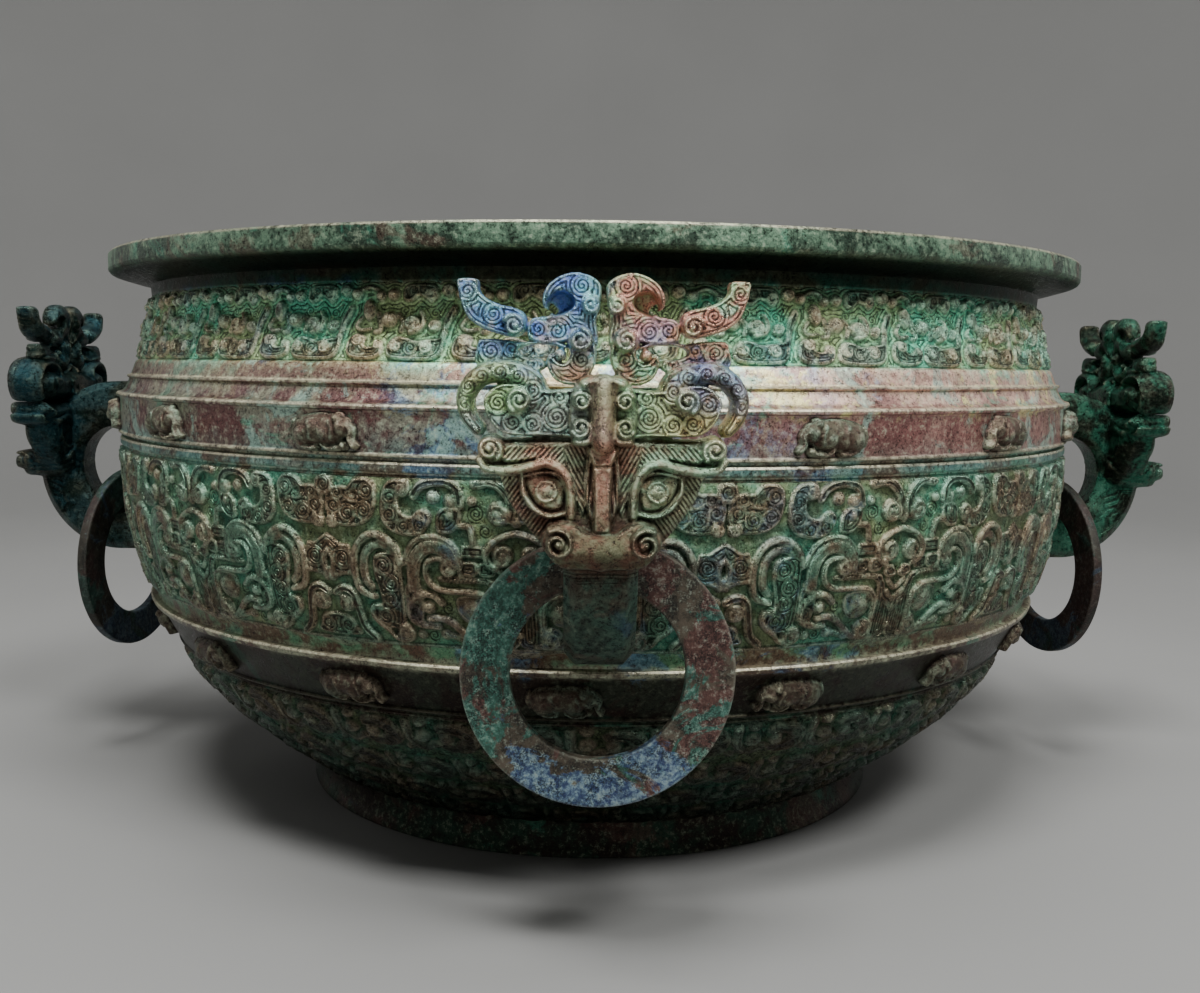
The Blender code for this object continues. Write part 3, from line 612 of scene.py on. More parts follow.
def neck_sheet(width):
    """A repeat of the knobs, commas and boat-shaped scrolls below the rim."""
    s = Sheet(0, width, 0, 30.2, 0.32, period=width)
    # Boat with curled ends at the foot
    s.plate([(0.2, 5.5), (1.4, 9.4), (4.4, 10.9), (7.4, 9.4), (7.0, 6.4), (10.0, 6.0), (11.0, 8.6),
             (13.6, 7.8), (14.1, 4.1), (11.6, 1.5), (5.2, 0.9), (1.2, 2.4)], 1.5, rail=1.0)
    s.curl((4.6, 7.9), 2.7, 2.8, start=40)
    s.curl((12.1, 6.3), 2.1, 2.7, start=150, turn=-1)
    # Longer boat whose right end rises as a slanting band
    s.plate([(15.2, 6.5), (15.6, 2.4), (20.0, 0.9), (29.6, 0.8), (34.0, 2.7), (35.4, 8.4), (36.6, 14.0),
             (39.0, 19.6), (37.2, 21.4), (34.4, 16.2), (33.2, 9.6), (30.4, 9.0), (25.2, 8.2), (21.6, 9.4),
             (17.6, 9.6)], 1.5, rail=1.0)
    s.curl((18.6, 5.9), 3.0, 2.8, start=90)
    s.curl((29.0, 5.4), 3.3, 3.0, start=150, turn=-1)
    s.spiral((23.8, 5.4), 2.0)
    # Pointed leaf, ball and comma across the middle
    s.plate([(5.3, 20.8), (7.4, 23.6), (9.9, 20.8), (9.9, 17.2), (7.8, 15.2), (5.7, 17.3)], 2.8, rail=0.3,
            lines=0.0)
    s.tube([(5.0, 16.6), (3.2, 13.6), (5.2, 11.9), (8.4, 12.4)], 1.5, 2.2)
    s.ball((15.3, 15.8), 3.1, 4.4)
    s.ball((15.3, 15.8), 0.8, 5.0)
    s.curl((23.4, 14.4), 3.4, 3.4, start=-60)
    s.tube([(23.2, 11.2), (26.4, 12.0), (27.6, 15.6), (26.2, 18.8)], 2.1, 3.4, end_width=1.4)
    s.strap([(11.0, 18.0), (12.4, 12.4), (10.4, 11.4)], 2.0, 1.6, rail=0.4)
    s.strap([(18.4, 17.6), (20.2, 15.0), (19.6, 11.8)], 2.0, 1.6, rail=0.4)
    s.curl((31.2, 13.4), 2.6, 2.7, start=20)
    s.spirals((20.4, 19.4, 1.9), (31.0, 18.4, 1.9, -1), (11.6, 14.9, 1.6))
    # Knobs and hooks along the top
    s.ball((2.6, 25.2), 2.2, 3.8)
    s.tube([(3.8, 26.6), (7.0, 27.8), (10.2, 26.8)], 1.7, 2.2)
    s.ball((11.6, 24.6), 2.0, 3.6)
    s.ball((16.2, 25.0), 2.3, 4.0)
    s.plate([(19.6, 23.2), (20.0, 27.8), (24.8, 29.0), (30.8, 28.4), (32.2, 24.6), (29.8, 21.8),
             (27.6, 23.4), (25.2, 24.4), (22.6, 22.2)], 1.5, rail=0.9)
    s.curl((29.4, 24.8), 2.6, 2.8, start=20)
    s.spiral((23.4, 26.4), 1.8)
    s.curl((35.6, 26.4), 2.7, 2.8, start=200, turn=-1)
    s.plate([(-9, -3), (width + 9, -3), (width + 9, 0.5), (-9, 0.5)], 0.9, rail=0.0, lines=0.0,
            curved=False)
    s.soften()
    s.engrave(0.3)
    return s


def bowl_sheet(width, length):
    """A repeat of the looser plates and scrolls on the underside of the bowl."""
    s = Sheet(0, width, 0, length, 0.42, period=width)
    fine_ground(s, 3.6)
    for row, y in enumerate(np.linspace(1.5, length - 17.2, 4)):
        shift = row % 2 * width / 4
        for k in range(2):
            x = shift + k * width / 2
            s.plate([(x + 1.2, y + 15), (x + 8, y + 16), (x + 13.2, y + 13), (x + 14.2, y + 7),
                     (x + 11.4, y + 2.6), (x + 5.6, y + 1.6), (x + 1.4, y + 4.4), (x + 2.2, y + 7.6),
                     (x + 6, y + 7), (x + 8.6, y + 9.4), (x + 6, y + 11.6), (x + 1.6, y + 11.4)], 2.0,
                    rail=0.8)
            s.spiral((x + 10.6, y + 11.4), 2.4)
            s.spiral((x + 9.6, y + 5.2), 2.3, -1)
            s.curl((x + 4.2, y + 9.4), 2.9, 3.0, start=-40, turn=-1)
            s.strap([(x + 16, y + 14.6), (x + 16.6, y + 7), (x + 20.4, y + 3), (x + 24.8, y + 5.6)], 3.2,
                    2.2)
            s.curl((x + 21.0, y + 9.6), 3.2, 3.0, start=200)
            s.ball((x + 20.8, y + 15.2), 2.1, 2.7)
            s.ball((x + 15.4, y + 2.2), 1.7, 2.4)
    s.plate([(-9, -3), (width + 9, -3), (width + 9, 1.2), (-9, 1.2)], 1.0, rail=0.0, lines=0.0,
            curved=False)
    s.plate([(-9, length - 0.8), (width + 9, length - 0.8), (width + 9, length + 4), (-9, length + 4)], 1.0,
            rail=0.0, lines=0.0, curved=False)
    s.soften()
    s.engrave(0.35)
    return s


# Reliefs round the vessel: how often each repeats, and the radius at the middle of its height
BODY_COPIES = 20
NECK_COPIES = 34
NECK_MIDDLE = 201
BOWL_COPIES = 20
BOWL_MIDDLE = 156
neck_turn = 360 / NECK_COPIES
bowl_turn = 360 / BOWL_COPIES
bowl_wall = Wall(BOWL)
bowl = bowl_sheet(math.radians(bowl_turn) * BOWL_MIDDLE, bowl_wall.run[-1])
neck = neck_sheet(math.radians(neck_turn) * NECK_MIDDLE)
round_band("body_frieze", body_sheet(), Wall(BODY), BODY_COPIES, start=UNIT_TURN, turn=UNIT_ANGLE,
           mirrored=True, most=180000, depth=0.64)
round_band("neck_frieze", neck, Wall(NECK), NECK_COPIES, start=-3.0, turn=neck_turn,
           mirrored=False, most=124000, depth=0.66)
round_band("bowl_frieze", bowl, bowl_wall, BOWL_COPIES, start=5, turn=bowl_turn,
           mirrored=False, most=84000, depth=0.7)


def inside_radius(outer, height):
    """The inside's radius at a height, one wall from every point of the outside."""
    offset = np.linspace(-WALL, WALL, 17)
    reach = np.interp(height + offset, outer[::-1, 1], outer[::-1, 0]) - np.sqrt(WALL**2 - offset**2)
    return reach.min()


GROUND_SINK = 0.7


def sunk(points):
    """A relief band's bed: the same strip a little deeper, so that the relief closes over it."""
    wall = Wall(points)
    return wall.points - wall.out * GROUND_SINK


def vessel_outline():
    """The whole turned outline, from the inside's middle over the rim and down to the underside's middle."""
    outside = [(214.2, 234.0), (214.9, 233.3), (215.0, 232.6), (215.0, 227.2), (214.3, 226.2),
               (213.4, 225.7)]
    outside += [(206.0, 223.6), (200.4, 222.3), (198.6, 221.4), (198.3, 217.6)]
    outside += [tuple(p) for p in sunk(NECK)[1:-1]]
    outside += [(203.9, 191.0), (205.0, 190.4), (205.5, 189.6), (207.3, 184.8), (208.7, 184.5),
                (208.9, 183.7)]
    outside += [(208.0, 183.1), (208.6, 181.4), (209.8, 179.0), (211.2, 177.8), (212.9, 177.3),
                (213.3, 176.7)]
    outside += [(213.2, 175.8), (212.1, 175.3), (211.9, 174.6), (212.1, 168.0), (211.9, 162.2),
                (212.7, 161.6)]
    outside += [(212.8, 161.0), (212.2, 160.5), (209.9, 160.2), (209.8, 159.5), (211.7, 159.1),
                (212.1, 158.4)]
    outside += [(212.1, 156.4), (211.7, 155.9), (210.2, 155.6), (210.1, 155.0), (210.4, 154.6)]
    outside += [tuple(p) for p in sunk(BODY)[1:-1]]
    outside += [(199.0, 92.6), (199.1, 92.1), (201.2, 91.7), (201.7, 91.0), (201.2, 89.6), (200.6, 89.1)]
    outside += [(198.6, 88.7), (197.9, 87.4), (194.0, 80.0), (190.3, 73.4), (190.7, 72.4), (190.0, 71.7)]
    outside += [(188.0, 71.2), (187.0, 70.4), (187.3, 69.8)]
    outside += [tuple(p) for p in sunk(BOWL)[1:-1]]
    outside += [(128.9, 14.4), (128.7, 12.0), (129.4, 7.0), (130.8, 3.0), (131.9, 1.2), (132.0, 0.4),
                (131.2, 0.0)]
    outside = np.array(outside)
    floor = FOOT_TOP + 2.5
    falling = outside[np.concatenate([[True], np.diff(outside[:, 1]) < 0])]
    heights = [26, 34, 42, 50, 58, 66, 74, 82, 90, 98, 110, 122, 134, 146, 158, 170, 182, 190, 198, 206,
               212]
    inside = [(0.0, floor), (60.0, floor), (110.0, floor + 0.6), (121.0, floor + 1.4), (127.0, floor + 4.0)]
    inside += [(inside_radius(falling, height), height) for height in heights]
    inside += [(193.8, 218), (193.8, 226), (193.8, 232.6), (194.3, 233.5), (195.2, 234.0)]
    foot = [(126.6, 0.0), (126.0, 0.5), (124.0, 6.0), (123.0, 11.0), (118.0, 11.5), (60.0, 11.5),
            (0.0, 11.5)]
    return np.vstack([inside, outside, foot])


# The longest face, in millimetres, and the angle from which an edge stays sharp
LONGEST_FLAT = 40.0
SHARP_DEGREES = 28.0


def turned(name, outline, segments, body):
    """A closed turned piece, its long flats split so that no face is far longer than it is wide."""
    rows = [outline[0]]
    for a, b in zip(outline, outline[1:]):
        count = max(1, int(np.hypot(*(b - a)) / LONGEST_FLAT))
        rows += [a + (b - a) * (k + 1) / count for k in range(count)]
    rows = np.array(rows)
    angles = np.arange(segments) / segments * TURN
    ring = rows[1:-1]
    points = [np.array([[0, 0, rows[0][1]]])]
    for radius, height in ring:
        points.append(np.stack([radius * np.sin(angles), -radius * np.cos(angles),
                                np.full(segments, height)], 1))
    points.append(np.array([[0, 0, rows[-1][1]]]))
    points = np.vstack(points) * MM
    quads, caps = [], []
    around = np.arange(segments)
    following = (around + 1) % segments
    for k in range(len(ring) - 1):
        low, high = 1 + k * segments, 1 + (k + 1) * segments
        quads.append(np.stack([low + around, low + following, high + following, high + around], 1))
    last = 1 + (len(ring) - 1) * segments
    caps.append(np.stack([np.zeros(segments, int), 1 + following, 1 + around], 1))
    caps.append(np.stack([np.full(segments, len(points) - 1), last + around, last + following], 1))
    return new_piece(name, points, [np.vstack(quads), np.vstack(caps)], body, sharp=SHARP_DEGREES)


vessel_wall = turned("vessel_wall", vessel_outline(), segments=360, body="basin")
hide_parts("vessel")


# Beast-head handle: u runs sideways from the mask's middle, q is the distance from the vessel's axis
HEAD_BACK = 247.0
HEAD_FLOOR = 240.0
ARM_HALF_WIDTH = 10.3
ARM_CHAMFER = 3.2
LOOP_REACH = 225.0
LOOP_HEIGHT = 142.0


def head_sheet():
    """Half of the mask seen from the front: heights are distances in front of HEAD_FLOOR."""
    s = Sheet(-3, 42, 128, 219, 0.25)

    # Crown: a hooked plate whose inside is dished
    s.plate([(0.4, 211.6), (1.7, 213.8), (4.7, 215.4), (8.2, 215.9), (12.2, 214.8), (15.4, 212.4),
             (17.0, 209.2), (16.8, 206.3), (14.9, 204.2), (20.2, 202.8), (20.2, 196.7), (10.1, 196.4),
             (7.6, 199.3), (1.7, 195.3), (1.2, 199.3), (1.7, 202.6), (0.7, 206.8)], 1.6, base=13.2,
            rail=0.7)
    s.sink([(15.9, 206.8), (13.8, 210.0), (10.9, 210.6), (8.2, 209.0), (7.9, 206.3), (10.1, 204.4),
            (13.8, 203.4)], 10.0)
    s.spirals((6.0, 211.9, 2.4), (17.8, 200.1, 2.6), (12.5, 199.6, 2.6, -1))
    s.curl((3.6, 206.8), 3.1, 2.6, base=14.8, start=120)

    # Antler: a curved plate with a square tip and a scroll at its root
    s.plate([(39.8, 213.5), (34.2, 213.5), (33.4, 210.3), (31.2, 208.2), (27.7, 206.8), (24.0, 206.0),
             (21.3, 204.4), (20.5, 201.5), (21.8, 198.5), (24.8, 197.5), (28.3, 198.3), (33.1, 199.9),
             (36.9, 202.6), (38.7, 206.0), (39.8, 209.8)], 1.8, base=14.2, rail=0.8)
    s.spirals((29.9, 203.9, 2.1), (36.9, 210.0, 2.1))
    s.curl((24.3, 200.9), 3.7, 3.2, base=15.2, start=30)

    # Side band, with a slit between it and the horn
    s.plate([(33.6, 197.5), (27.7, 197.5), (22.4, 196.9), (14.9, 197.5), (10.1, 196.1), (10.1, 194.5),
             (14.9, 195.5), (20.5, 195.3), (22.8, 194.0), (20.5, 192.7), (16.5, 192.2), (15.9, 189.0),
             (22.0, 187.6), (30.0, 187.6), (35.2, 190.5), (35.0, 194.6)], 1.5, base=13.0, rail=0.7)
    s.spirals((30.6, 194.0, 2.6), (25.0, 194.6, 1.7, -1), (19.4, 190.6, 1.7))

    # Large scroll beside the gap
    s.plate([(7.9, 200.4), (3.6, 199.3), (1.7, 195.3), (2.0, 190.3), (4.7, 186.3), (9.0, 184.7),
             (13.5, 186.3), (15.7, 190.3), (15.4, 192.9), (13.8, 194.0), (12.7, 191.9), (10.6, 191.3),
             (9.2, 193.5), (10.1, 196.7)], 1.8, base=14.4, rail=0.8)
    s.spiral((6.0, 191.9), 2.5)
    s.curl((6.3, 197.2), 3.8, 3.0, base=15.8, start=100)
    s.curl((11.7, 193.2), 2.1, 2.2, base=15.2, start=200)

    # Forehead
    s.plate([(32.6, 179.9), (31.2, 183.3), (26.7, 185.7), (19.7, 184.9), (14.9, 183.9), (8.4, 184.4),
             (-2.3, 184.4), (-2.3, 170.5), (11.7, 171.0), (22.4, 171.0), (27.2, 171.8), (30.7, 175.0)], 1.4,
            base=19.4, rail=1.1)
    s.spirals((28.3, 180.1, 2.7), (24.3, 175.0, 2.2), (18.9, 174.5, 2.2, -1), (12.5, 176.4, 3.3),
              (11.7, 181.7, 1.9, -1))

    # Horn: a thick tube that rises from a scroll, arches over and ends in a point
    s.tube([(21.8, 180.9), (20.0, 180.1), (18.4, 182.3), (19.4, 185.5), (22.9, 187.6), (27.7, 188.4),
            (32.6, 187.6), (35.8, 184.9), (37.4, 181.2), (36.9, 177.5), (35.6, 175.0), (33.9, 173.0)], 8.6,
           6.6, base=15.4, end_width=4.4, lines=1.0)
    for place in ((18.9, 183.6), (22.9, 187.3), (27.7, 188.4), (32.6, 187.3), (36.0, 184.4)):
        s.spiral(place, 2.0)
    s.spiral((37.0, 179.6), 1.4)
    s.curl((22.4, 180.9), 4.2, 3.4, base=20.6, start=-60)

    # Middle ornament: a ridge between two pairs of scrolls
    s.plate([(7.9, 183.9), (3.6, 186.0), (-0.4, 186.5), (-4.4, 186.0), (-3.9, 169.2), (3.6, 169.2),
             (8.2, 171.0), (9.2, 178.0)], 2.0, base=21.0, rail=0.3, lines=0.0)
    s.tube([(-0.1, 185.2), (-0.1, 178.0), (-0.1, 169.7)], 6.6, 5.2, base=24.0)
    s.tube([(5.0, 185.4), (2.6, 186.2), (-0.6, 186.4)], 3.4, 4.4, base=23.6)
    s.tube([(6.8, 184.1), (3.9, 184.4), (2.5, 181.7), (2.5, 174.0), (3.9, 170.5), (7.1, 170.2)], 2.6, 3.6,
           base=23.0)
    s.curl((5.8, 180.9), 3.2, 4.4, base=23.0, start=30)
    s.curl((6.0, 174.0), 3.3, 4.4, base=23.0, start=-30, turn=-1)

    # Face, with feathered brows
    s.plate([(32.0, 170.5), (22.4, 170.5), (-2.8, 170.0), (-2.8, 141.9), (11.7, 140.1), (15.7, 141.1),
             (18.4, 143.3), (22.4, 148.3), (26.1, 154.0), (28.5, 160.4), (32.0, 164.1)], 1.6, base=18.0,
            rail=0.0, lines=2.0)
    s.hatch([(31.0, 159.8), (22.4, 159.8), (17.0, 150.8), (10.1, 149.2), (11.7, 141.1), (15.7, 140.6),
             (19.7, 143.8), (26.4, 152.9)], 35)
    s.plate([(27.7, 168.9), (17.0, 169.7), (3.6, 169.2), (2.5, 162.0), (3.6, 154.0), (5.2, 148.6),
             (6.8, 152.6), (8.7, 159.8), (12.7, 164.1), (18.1, 164.9), (26.4, 164.1)], 1.8, base=19.6,
            rail=0.5, lines=2.0)
    s.hatch([(26.7, 168.4), (17.0, 168.9), (10.1, 168.4), (9.0, 162.0), (12.7, 163.6), (18.1, 164.4),
             (26.1, 164.1)], 42)
    s.hatch([(10.1, 168.4), (4.2, 168.4), (3.1, 162.0), (3.6, 154.0), (5.5, 149.2), (7.6, 155.3),
             (9.2, 162.0)], -28)
    s.tube([(3.6, 165.2), (4.2, 159.3), (3.6, 152.6), (2.0, 146.5)], 1.5, 2.2, base=21.2)
    s.tube([(33.1, 164.9), (31.2, 162.5), (25.6, 162.0), (19.7, 163.0), (15.4, 164.1), (11.7, 162.8),
            (9.2, 159.3), (8.4, 155.0), (8.4, 149.7)], 3.0, 3.6, base=20.0)
    s.curl((30.4, 167.8), 4.3, 3.6, base=19.8, start=-130, turn=-1)

    # Eye
    s.plate([(21.3, 160.1), (15.7, 161.4), (11.1, 160.1), (9.5, 156.1), (9.8, 151.0), (14.3, 150.5),
             (18.6, 152.6), (21.0, 156.1)], 0.8, base=18.0, rail=0.0, lines=0.0)
    s.plate([(20.8, 159.6), (15.4, 160.9), (11.1, 159.3), (10.1, 155.6), (11.1, 151.6), (14.9, 151.3),
             (18.6, 153.7)], 1.8, base=18.8, rail=0.0, lines=0.0)
    s.tube([(21.6, 160.4), (21.3, 156.1), (18.6, 151.8), (14.3, 149.7), (9.5, 150.5)], 1.6, 2.6, base=19.4)
    s.tube([(21.3, 160.4), (15.4, 161.7), (11.7, 160.6), (9.8, 157.2)], 1.1, 1.6, base=19.8)
    s.tube(ring_path((15.1, 156.4), 2.7), 0.9, 1.2, base=20.3)
    s.ball((15.1, 156.4), 2.2, 1.2, base=20.3)

    # Nose
    s.plate([(4.2, 168.4), (4.7, 159.3), (4.2, 152.6), (2.5, 145.7), (-2.8, 145.7), (-2.8, 168.4)], 2.4,
            base=19.6, rail=0.0, lines=2.0)
    s.hatch([(4.2, 167.3), (1.7, 163.0), (1.7, 154.0), (2.0, 145.9), (4.2, 151.3), (5.0, 159.3)], 4)
    s.plate([(3.9, 168.9), (-4.4, 168.9), (-3.4, 164.6), (-2.3, 163.3), (2.0, 163.3), (3.1, 164.6)], 3.6,
            base=21.5, rail=0.4, lines=0.0)
    s.plate([(2.9, 163.8), (-2.9, 163.8), (-2.7, 154.0), (-2.6, 145.4), (2.6, 145.4), (2.5, 154.0)], 4.4,
            base=21.5, rail=0.4, lines=0.0, curved=False)

    # Snout: a saddle between two scrolls
    s.plate([(15.7, 141.9), (14.6, 146.2), (11.7, 148.6), (7.6, 148.3), (4.2, 146.2), (0.9, 145.1),
             (-2.8, 145.1), (-2.8, 135.5), (3.6, 135.3), (10.1, 135.5), (13.8, 137.9)], 5.6, base=21.6,
            rail=0.0, lines=0.0)
    s.tube([(9.0, 141.1), (4.2, 140.9), (-0.7, 140.9)], 10.0, 5.8, base=23.4)
    s.curl((11.7, 143.0), 5.3, 5.6, base=24.6, start=60, turns=1.5, width=2.3)
    s.ball((11.7, 143.0), 1.5, 5.4, base=24.6)
    s.soften()
    s.engrave(0.3)
    return s


# The radius of the wall's middle at some heights: the loop's arms end there
WALL_MIDDLE = ([92.5, 104.0, 118.0, 135.0, 154.5, 184.0, 205.0],
               [197.2, 201.4, 205.2, 208.0, 208.8, 209.4, 200.0])
# Where a handle lies: u, q and z, each from and to
HANDLE_BOX = ((0, 42.3), (203.0, 272.5), (99.5, 218.5))
# The loop's outer and inner ovals: their reach forwards, upwards and downwards
LOOP_OUTER = (36.6, 38.4, 41.0)
LOOP_INNER = (16.5, 17.6, 20.0)
OUTER_SIZE = 37
INNER_SIZE = 17
DIAGONAL = 0.707
# The mask's rounded edges, and the levels of its face and back
EDGE_ROUND = 2.4
BACK_ROUND = 2.6
RIM_WIDTH = 4.0
FACE_LEVEL = 255.0
FACE_MIDDLE = 254.0
BACK_BEVEL = 2.0
BACK_FOLLOW = 0.3
# The grid keeps no distances beyond this
GRID_BAND = 2.0


def ring_path(centre, radius):
    return round_points(centre, radius, np.linspace(0, TURN, 15))


def oval(forward, rise, reach, upper, lower):
    """0 on an oval whose upper and lower halves differ in height, and -1 in its middle."""
    return np.hypot(forward / reach, rise / np.where(rise > 0, upper, lower)) - 1


def arm_distance(u, q, z):
    """Signed distance to the loop arm, in millimetres, negative inside."""
    forward = np.maximum(q - LOOP_REACH, 0)
    rise = z - LOOP_HEIGHT
    outer = oval(forward, rise, *LOOP_OUTER) * OUTER_SIZE
    inner = -oval(forward, rise, *LOOP_INNER) * INNER_SIZE
    side = np.maximum(outer, inner)
    width = np.abs(u) - ARM_HALF_WIDTH
    chamfer = (side + width + ARM_CHAMFER) * DIAGONAL
    return np.maximum(np.maximum(side, width), chamfer)


def rounded_corner(a, b, radius):
    """The larger of two distances, the corner where they meet rounded off."""
    share = np.maximum(radius - np.abs(a - b), 0)
    return np.maximum(a, b) + share**2 / (4 * radius)


def handle_mesh(sheet, voxel, most):
    """One handle as points (u, q, z) and triangles, with the sheet's fields read back on its points."""
    u, q, z = [np.arange(low, high, voxel, dtype=np.float32) for low, high in HANDLE_BOX]
    plane_u, plane_z = np.meshgrid(u, z, indexing="ij")
    front = HEAD_FLOOR + sheet.read(sheet.level, plane_u, plane_z)
    edge = sheet.read(sheet.solid, plane_u, plane_z)
    edge = np.where(plane_z < sheet.y[0] + 1, FAR, edge).astype(np.float32)
    cube_u, cube_q, cube_z = np.meshgrid(u, q, z, indexing="ij", sparse=True)
    inner = np.clip(-edge / RIM_WIDTH, 0, 1)
    follow = BACK_FOLLOW * np.clip(front - FACE_MIDDLE, -6, 10)
    back = HEAD_BACK + BACK_BEVEL * (1 - inner) - follow * inner
    head = rounded_corner(edge[:, None, :], (cube_q - front[:, None, :]) * 0.8, EDGE_ROUND)
    head = rounded_corner(head, back[:, None, :] - cube_q, BACK_ROUND)
    within_wall = np.interp(z, *WALL_MIDDLE)[None, None, :] - np.hypot(cube_u, cube_q)
    arm = np.maximum(arm_distance(cube_u, cube_q, cube_z), within_wall)
    solid = np.minimum(arm, head)
    solid = np.clip(solid, -GRID_BAND, GRID_BAND).astype(np.float32)
    grid = openvdb.FloatGrid(background=GRID_BAND)
    grid.copyFromArray(np.concatenate([solid[:0:-1], solid], axis=0))
    points, triangles, quads = grid.convertToPolygons(isovalue=0.0, adaptivity=0.0)
    points = points * voxel + (-u[-1], q[0], z[0])
    points, faces = thinned(points, [triangles, quads], most)
    side = np.abs(points[:, 0])
    front = sheet.read(sheet.level, side, points[:, 2]) + HEAD_FLOOR
    facing = (points[:, 1] > HEAD_BACK + 0.6) & (front - points[:, 1] < 1.0)
    values = {key: sheet.read(getattr(sheet, key), side, points[:, 2]) for key in FIELDS}
    plain = {"inset": 2.0, "echo": 2.0, "lines": 0.0, "disc": NO_DISC, "across": 0.0, "along": 0.0}
    for key, value in plain.items():
        values[key] = np.where(facing, values[key], value)
    values["level"] = np.where(facing, points[:, 1] - FACE_LEVEL, 0)
    return points, faces, values


HANDLES = {"front": 0, "right": 90, "back": 180, "left": 270}
head = head_sheet()
front_handle = handle_mesh(head, voxel=0.36, most=185000)
other_handle = handle_mesh(head, voxel=0.5, most=72000)
for side, degrees in HANDLES.items():
    shape, faces, values = front_handle if side == "front" else other_handle
    turn = Matrix.Rotation(math.radians(degrees), 3, "Z")
    spots = np.stack([-shape[:, 0], -shape[:, 1], shape[:, 2]], 1) * MM
    spots = spots @ np.array(turn).T
    made = new_piece("beast_handle_" + side, spots, [faces], "basin", values)
    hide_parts("handle_" + side)


# Rings
RING_RADIUS = 42.5
RING_HOLE = 26.8
RING_HALF = 2.3
RING_REACH = 221.5
RING_HEIGHT = 96.7
SIDE_RING_TURN = 12.0
RING_MIDDLE = 35
RING_STEPS = 168
RING_WAVES = (2, 3, 5, 9, 14, 23)
RING_WEAR = 0.16


def ring_section():
    """The ring's cut across, with worn corners, as (radius, depth)."""
    corner = 0.9
    spots = []
    for radius, depth, start in ((RING_RADIUS, -RING_HALF, -90), (RING_RADIUS, RING_HALF, 0),
                                 (RING_HOLE, RING_HALF, 90), (RING_HOLE, -RING_HALF, 180)):
        inwards = -1 if radius == RING_RADIUS else 1
        centre = (radius + inwards * corner, depth - math.copysign(corner, depth))
        for step in range(4):
            angle = math.radians(start + 30 * step)
            spots.append((centre[0] + corner * math.cos(angle), centre[1] + corner * math.sin(angle)))
        if start in (0, 180):
            far = RING_HOLE if start == 0 else RING_RADIUS
            for step in range(1, 8):
                spots.append((radius + (far - radius) * step / 8, depth))
    return np.array(spots)


def ring_piece(side, degrees, seed):
    section = ring_section()
    angles = np.arange(RING_STEPS) / RING_STEPS * TURN
    rng = np.random.default_rng(seed)
    waves = [(n, rng.uniform(0, TURN), rng.uniform(0.03, 0.09)) for n in RING_WAVES]
    wobble = sum(size * np.sin(n * angles + phase) for n, phase, size in waves)
    wear = np.where(section[:, 0] > RING_MIDDLE, -RING_WEAR, RING_WEAR)
    radius = section[None, :, 0] + wear[None, :] * (1 + wobble[:, None])
    depth = section[None, :, 1] * (0.985 - 0.1 * np.abs(wobble[:, None]))
    local = np.stack([radius * np.cos(angles[:, None]), depth, radius * np.sin(angles[:, None])], -1)
    rows, columns = local.shape[:2]
    index = np.arange(rows * columns).reshape(rows, columns)
    after = np.roll(index, -1, 0)
    beside, corner = np.roll(index, -1, 1), np.roll(after, -1, 1)
    quads = np.stack([index, beside, corner, after], -1).reshape(-1, 4)
    lean = {"right": SIDE_RING_TURN, "left": -SIDE_RING_TURN}.get(side, 0)
    tilt = np.array(Matrix.Rotation(math.radians(lean), 3, "Z"))
    turn = np.array(Matrix.Rotation(math.radians(degrees), 3, "Z"))
    spots = local.reshape(-1, 3) @ tilt.T + (0, -RING_REACH, RING_HEIGHT)
    spots = spots @ turn.T * MM
    made = new_piece("loose_ring_" + side, spots, [quads], "ring_" + side + "_body")
    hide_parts("ring_" + side)
    return made


for seed, (side, degrees) in enumerate(HANDLES.items()):
    ring_piece(side, degrees, seed + 3)


def animal_sheet():
    """A small crouching beast with a long nose, seen from its side."""
    s = Sheet(-14.0, 14.0, -7.6, 7.6, 0.4)
    # Round body with a haunch and a shoulder
    s.tube([(-7.6, -0.2), (-2.6, 0.7), (2.6, 0.5)], 10.8, 5.3)
    s.ball((-7.8, -0.8), 4.7, 5.8)
    s.ball((1.4, -0.4), 3.9, 6.0)
    s.tube([(-5.0, 3.4), (-3.6, 0.6), (-3.9, -2.4)], 1.1, 5.9)
    s.tube([(3.4, 3.6), (4.6, 0.8), (4.2, -2.2)], 1.2, 6.0)
    # Head, ear and eye
    s.ball((7.2, 1.4), 3.6, 5.5)
    s.ball((5.6, 4.4), 2.1, 5.4)
    s.ball((8.4, 2.2), 0.8, 6.2)
    # Trunk, feet and tail
    s.tube([(9.2, 2.4), (10.8, 0.4), (10.3, -2.2), (11.6, -4.4)], 2.4, 4.6, end_width=2.8)
    s.tube([(-9.4, -4.2), (-6.4, -5.6), (-3.2, -5.4)], 2.3, 4.2)
    s.tube([(-0.2, -4.0), (2.4, -5.6), (5.8, -5.2)], 2.3, 4.4)
    s.ball((7.4, -4.4), 1.8, 4.0)
    s.tube([(-12.0, 3.4), (-13.1, 0.2), (-12.2, -3.2)], 1.4, 3.2)
    s.soften()
    s.lines[:] = 0.0
    s.echo = np.clip(s.inset, 0, 6)
    return s


BEAST_TRIANGLES = 1500
SUNK_RIM = 0.8


